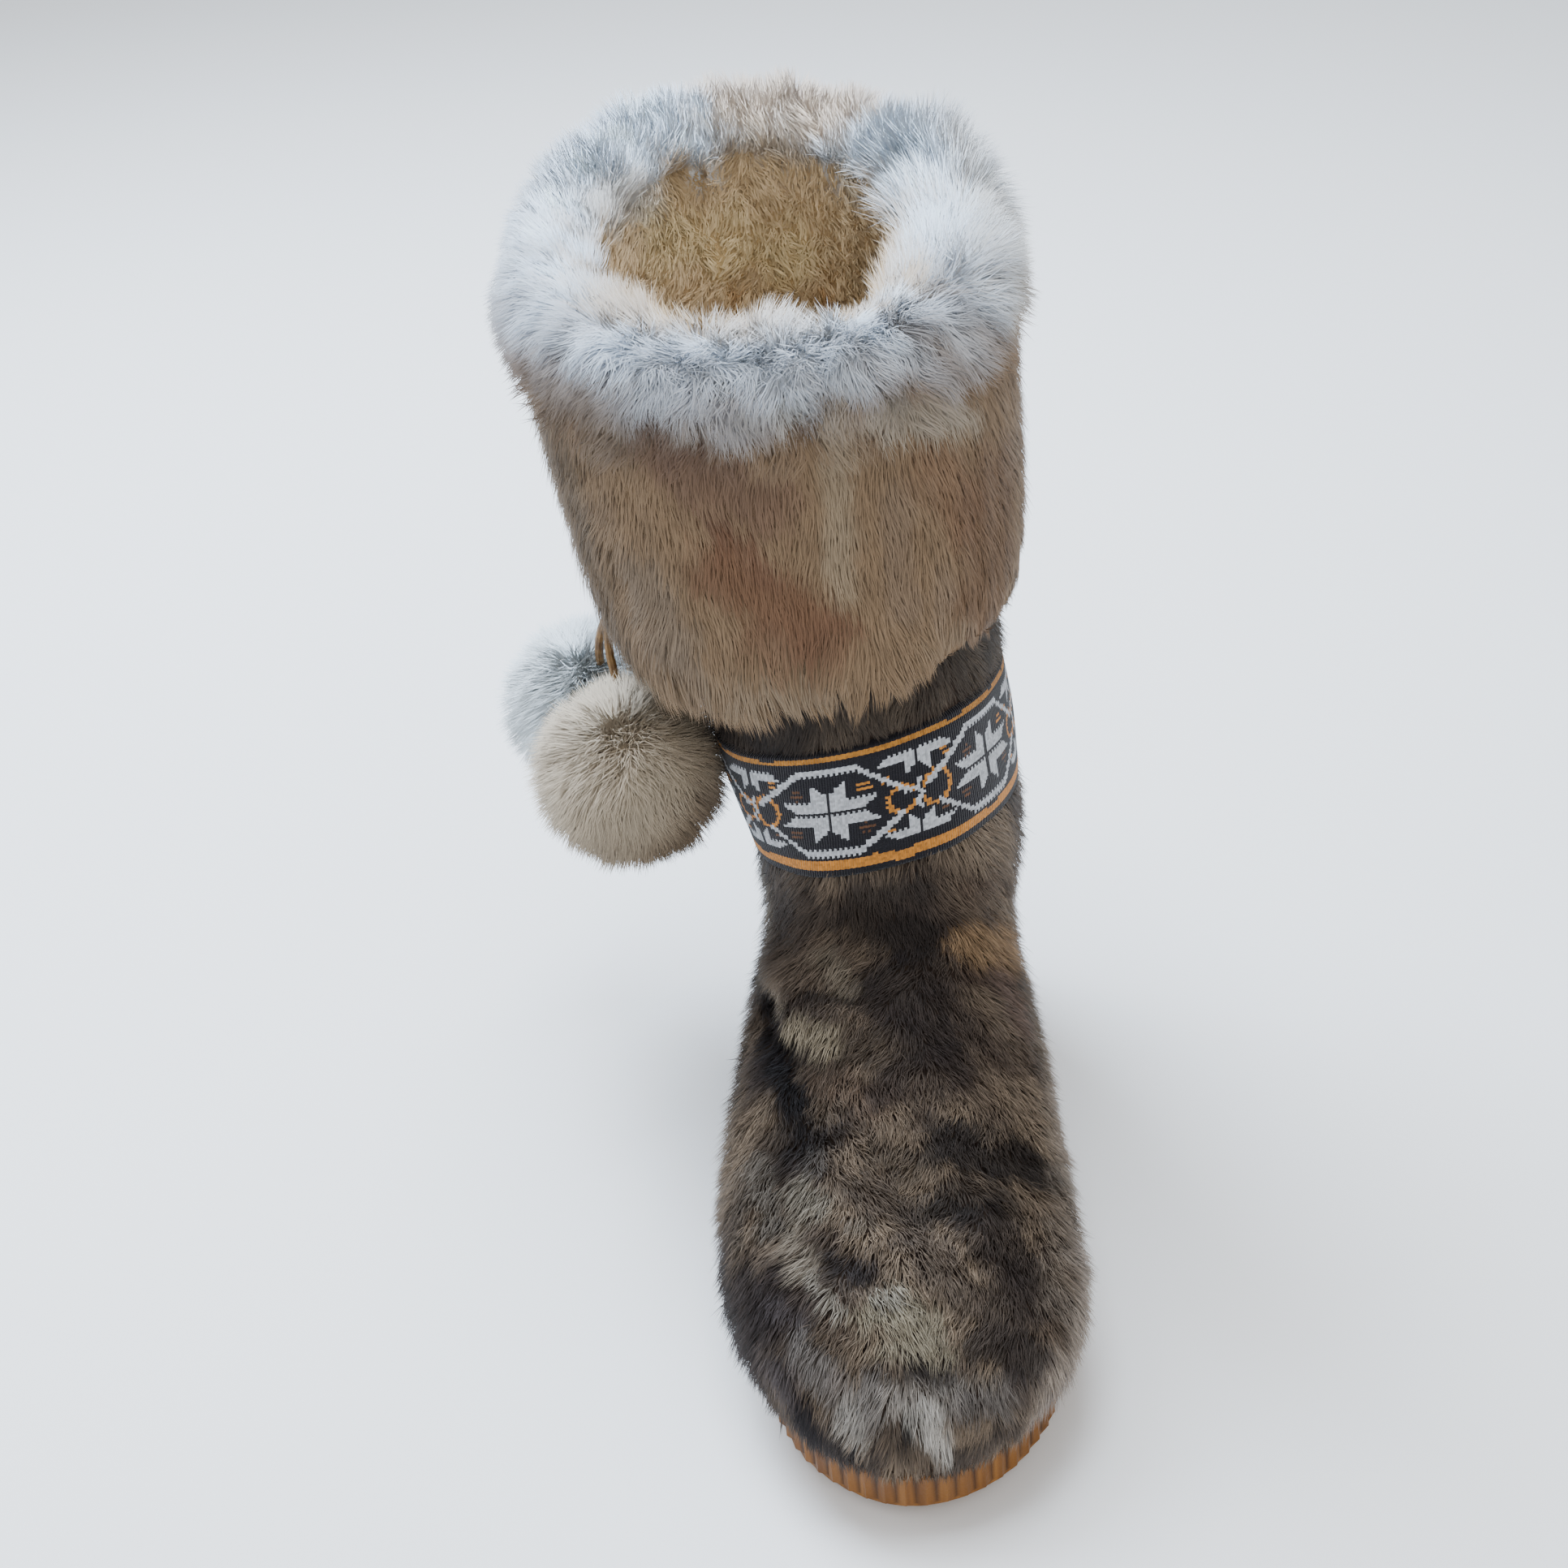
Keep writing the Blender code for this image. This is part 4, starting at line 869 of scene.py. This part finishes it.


# Strokes of wool colour, in the way of the foot's: outside and on the roll, and inside. Some of them, as
# marked, are painted shade.
CUFF_ROWS = (
    # These two are painted shade under the white lip: grey, then brown.
    (-87, -66, 294, -66, -83, 294, 9.0, "#7f7264", 0.60),
    (-82, -70, 279, -39, -92, 290, 5.0, "#6a5d4e", 0.60),
    (-50, -90, 280, -24, -93, 266, 10.0, "#6a5344", 0.75),
    (-43, -92, 261, -26, -92, 244, 5.6, "#674f41", 0.70),
    (-38, -90, 246, -14, -90, 226, 11.0, "#6b4b37", 0.70),
    (-28, -90, 221, -9, -91, 223, 8.0, "#6f523f", 0.50),
    (-3, -90, 295, -5, -90, 237, 5.5, "#96866f", 0.65),
    (13, -84, 265, 13, -83, 227, 5.7, "#7d6a57", 0.70),
    (24, -75, 270, 33, -66, 250, 9.0, "#7d614a", 0.65),
    # A reddish-brown patch, darkened further by painted shade at the flap's right edge.
    (40, -56, 250, 38, -62, 210, 15.0, "#664c39", 0.55),
    (25, -75, 233, 24, -76, 218, 4.9, "#8a7662", 0.60),
    (-65, -81, 240, -59, -82, 213, 9.6, "#70665a", 0.50),
    # Painted shade down the flap's outer side, which turns away from the light.
    (-92, -60, 268, -84, -56, 205, 16.0, "#54442f", 0.80),
    (-102, -32, 277, -95, -46, 251, 3.9, "#7d756d", 0.60),
    (-49, -87, 205, -13, -90, 203, 5.4, "#8a7b68", 0.60),
    (19, -81, 213, 34, -68, 209, 4.9, "#8a7862", 0.70),
    (8, -87, 226, 9, -87, 200, 1.7, "#43352a", 0.80),
    (2, -90, 266, 8, -87, 226, 1.3, "#54453a", 0.55),
    (5, -87, 291, 37, -62, 279, 5.1, "#a49b8b", 0.60),
    (-26, -93, 295, -12, -92, 294, 4.4, "#b3b0a6", 0.60),
    (17, -20, 309, 21, -52, 313, 5.7, "#9c9184", 0.85),
    (-38, 56, 336, -2, 46, 334, 13.0, "#e2c8a8", 0.85),
    (32, 30, 320, 36, -30, 300, 13.0, "#d6ccba", 0.55),
)
LINING_ROWS = (
    (-38, 56, 336, -2, 46, 334, 13.0, "#e2c8a8", 0.85),
    (-78, 5, 319, -63, 24, 314, 7.6, "#cfcac0", 0.80),
    (-60, 25, 301, -25, 36, 290, 10.5, "#c9b283", 0.60),
    (-42, 33, 278, -13, 34, 275, 3.7, "#a87a48", 0.80),
    (-7, 33, 322, -1, 29, 311, 5.2, "#b5a892", 0.70),
    (-48, 40, 330, -22, 39, 326, 5.7, "#cbb89b", 0.70),
    (-54, 33, 314, -51, 30, 291, 2.1, "#957c58", 0.60),
    (-34, 38, 309, -28, 36, 285, 2.1, "#957c58", 0.50),
)
# Where the wool of the roll stands longer, into the opening: places, half width and added share.
LIP_ROWS = (
    (20, 25, 322, 24, -35, 312, 16, 0.8),
    (-60, -48, 312, -20, -60, 308, 14, 0.45),
)
# Sheep's wool, combed: rough and matt. On the roll a strong sheen tinted blue is painted cold sky light on its
# loose tips.
wool = hair_material("cuff_wool", 0.8, 0.12, 0.15)
white_wool = hair_material("roll_white_wool", 0.8, 0.12, 0.6, "#d2e4ff")


def wool_tone(root, inside):
    """Brown on the flap, white with a painted bluish tint of cold sky light on the roll, tan inside."""
    depth = below_rim(root) + 0.004 * ripple(root, 0.02, 21)
    # The roll's white is painted bluish, for the cold sky light on it.
    flap, roll, lining = (np.array(colour(code)) for code in ("#806a52", "#e2f0fc", "#b99e78"))
    depth = depth + 0.007 * soft(-root[:, 1], 0.02, 0.07)
    outside = roll + (flap - roll) * soft(depth, -0.006, 0.028)[:, None]
    tone = paint(root, outside, CUFF_ROWS, 23)
    within = roll + (lining - roll) * soft(depth, 0.004, 0.015)[:, None]
    within = paint(root, within, LINING_ROWS, 25)
    tone = tone + (within - tone) * inside[:, None]
    return np.clip(tone * (1 + 0.10 * ripple(root, 0.012, 22))[:, None], 0, 1)


def over_roll(root, normal):
    """The way the wool runs: up out of the shaft, over the roll and down the flap."""
    away = off_shaft(root)
    round_it = np.column_stack((-away[:, 1], away[:, 0], np.zeros(len(root))))
    return unit(np.cross(round_it, normal) + 1e-6)


def paint_skin(thing, tone):
    """Keeps a colour per vertex on a skin, so that no dark gap shows between the hairs."""
    rgba = np.ones((len(tone), 4), np.float32)
    rgba[:, :3] = tone
    coat_layer = thing.data.color_attributes.new("coat", "FLOAT_COLOR", "POINT")
    coat_layer.data.foreach_set("color", rgba.reshape(-1))


_, places, _ = mesh_arrays(cuff_skin)
paint_skin(cuff_skin, wool_tone(places, inside_shaft(places)) * 0.95)


def grow_wool(name, count, share, seed, length, width, lift, clump, clump_size, stray, curl, up):
    """One kind of wool. At the flap's lower edge it is longer and hangs in locks. On the roll it
    stands up round the crest, and lies in all directions where the crest faces the front."""
    on_roll = name == "roll_wool"
    root, normal, rng = scatter(cuff_skin, count, share, seed)
    facing = np.sum(normal * off_shaft(root), axis=1)
    inside = np.full(count, 1.0 if name == "lining_wool" else 0.0)
    crown = np.tile([0.0, 0.0, up], (count, 1))
    tone = wool_tone(root, soft(facing, 0.1, -0.1) if on_roll else inside)
    tone = np.clip(tone * rng.uniform(0.94, 1.07, count)[:, None], 0, 1)
    flow = over_roll(root, normal)
    in_front = soft(-root[:, 1], -0.02, 0.03)
    crest = soft(normal[:, 2], 0.35, 0.85) * in_front
    turn = ripple(root, 0.035, seed + 3) * 0.35 + crest * (1.6 * ripple(root, 0.009, seed + 5))
    flow = unit(flow + np.cross(normal, flow) * turn[:, None])
    size = length * (1 + 0.2 * ripple(root, 0.02, seed + 4)) * rng.uniform(0.75, 1.15, count)
    rise = np.full(count, lift)
    if on_roll:
        for *ends, half, more in LIP_ROWS:
            near = 1 - soft(stroke_share(root, ends, half), 0.5, 1.5)
            size *= 1 + more * near
            rise += 0.2 * near
        rise += 0.35 * soft(normal[:, 2], 0.55, 0.95) - 0.40 * crest
        crown[:, 1] -= 1.3 * in_front
    fringe = soft(below_rim(root), 0.078, 0.100)
    short = fringe * soft(root[:, 0], -0.010, 0.030)
    return grow(name, white_wool if on_roll else wool, root, normal, flow,
                size * (1 + 1.2 * fringe - 1.3 * short), width, rng, lift=rise * (1 - 0.6 * fringe),
                droop=0.15, clump=clump + (0.50 - clump) * fringe, clump_size=clump_size,
                tip=tone, base=tone * 0.94, stray=stray, curl=curl, crown=crown)


# Name, number of hairs, where they grow, seed, length and width in m, lift, pull into locks, size
# of a lock in m, stray, curl, and how far the blades face up. Real wool is a tenth as wide, and this
# is as coarse as it needs to be to show.
WOOL_ROWS = (
    ("flap_wool", 64000, flap_share, 31, 0.0085, 0.00050, 0.30, 0.04, 0.004, 0.12, 0.03, 0.5),
    ("roll_wool", 60000, roll_share, 32, 0.0110, 0.00052, 0.60, 0.28, 0.007, 0.18, 0.20, 1.2),
    ("lining_wool", 28000, lining_share, 33, 0.0060, 0.00070, 0.40, 0.35, 0.007, 0.25, 0.25, 0.8),
)
for row in WOOL_ROWS:
    grow_wool(*row)


# Pompoms: balls of long fur on two short thongs that come out of the cuff on the outer side. The
# front one is beige and the back one pale. Both are painted lighter on top and on the outer side and
# darker below, and the back one's top is painted bluish for the cold light from behind.

# Name, colour of the fur with painted light on its top and outer side, and its painted shade below.
POMPOM_ROWS = (
    ("front", "#cbbca5", "#6b5c4a"),
    ("back", "#e6f0f4", "#a59f97"),
)
POMPOM_HAIRS = 20000
POMPOM_LENGTH = 0.0140
POMPOM_WIDTH = 0.00058
POMPOM_SUNK = 0.006             # the skin lies this deep, so that the fur ends near the solid
# Long dense fur, brushed out all round: matt, with a soft bright rim.
pompom_fur = hair_material("pompom_fur", 0.8, 0.12, 0.35)


def pompom_painted_light_and_shade(normal, fur, below):
    """Painted light and shade: the fur's lit colour at the top and on the outer side, shading to the painted
    shade below.
    """
    low, high = np.array(colour(below)), np.array(colour(fur))
    return low + (high - low) * soft(normal @ np.array([-0.5, 0.0, 0.85]), -0.9, 0.7)[:, None]


for name, fur, below in POMPOM_ROWS:
    ball = skin_from("pompom_" + name, "ball_" + name, 1, cuff_hide)
    sunk(ball, POMPOM_SUNK)
    _, places, normals = mesh_arrays(ball)
    # The ball's skin under the fur takes the same painted light and shade.
    paint_skin(ball, pompom_painted_light_and_shade(normals, fur, below) * 0.8)
    root, normal, rng = scatter(ball, POMPOM_HAIRS, lambda centre, face: np.ones(len(centre)), 51 + len(name))
    tone = pompom_painted_light_and_shade(normal, fur, below) * rng.uniform(0.92, 1.1, len(root))[:, None]
    tone = np.clip(tone * (1 + 0.08 * ripple(root, 0.01, 53))[:, None], 0, 1)
    size = POMPOM_LENGTH * (1 + 0.12 * ripple(root, 0.012, 54)) * rng.uniform(0.8, 1.12, len(root))
    hair = grow("pompom_fur_" + name, pompom_fur, root, normal, along_surface(normal, (0.1, 0.05, -1)),
                size, POMPOM_WIDTH, rng, lift=0.72, droop=0.20, clump=0.28, clump_size=0.006,
                tip=tone, base=tone * 0.88, stray=0.17, curl=0.15, crown=(0, 0, 1.0))
    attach(ball, "root")
    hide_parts("pompom_" + name)

# Cut leather thong, tan and slightly polished by wear, with blotches of about 3 mm.
thong, tree, shader = new_material("thong_leather", 0.6, 0.35)
place = add_node(tree, "ShaderNodeTexCoord").outputs["Object"]
grain = add_node(tree, "ShaderNodeTexNoise", Vector=place, Scale=300, Detail=4, Roughness=0.55).outputs["Fac"]
tone = add_node(tree, "ShaderNodeValToRGB", Fac=grain,
                stops=((0.3, "#5a4024"), (0.7, "#8a6a3e"))).outputs["Color"]
tree.links.new(tone, shader.inputs["Base Color"])
for name in ("tie_front", "tie_back"):
    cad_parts[name].data.materials.clear()
    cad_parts[name].data.materials.append(thong)
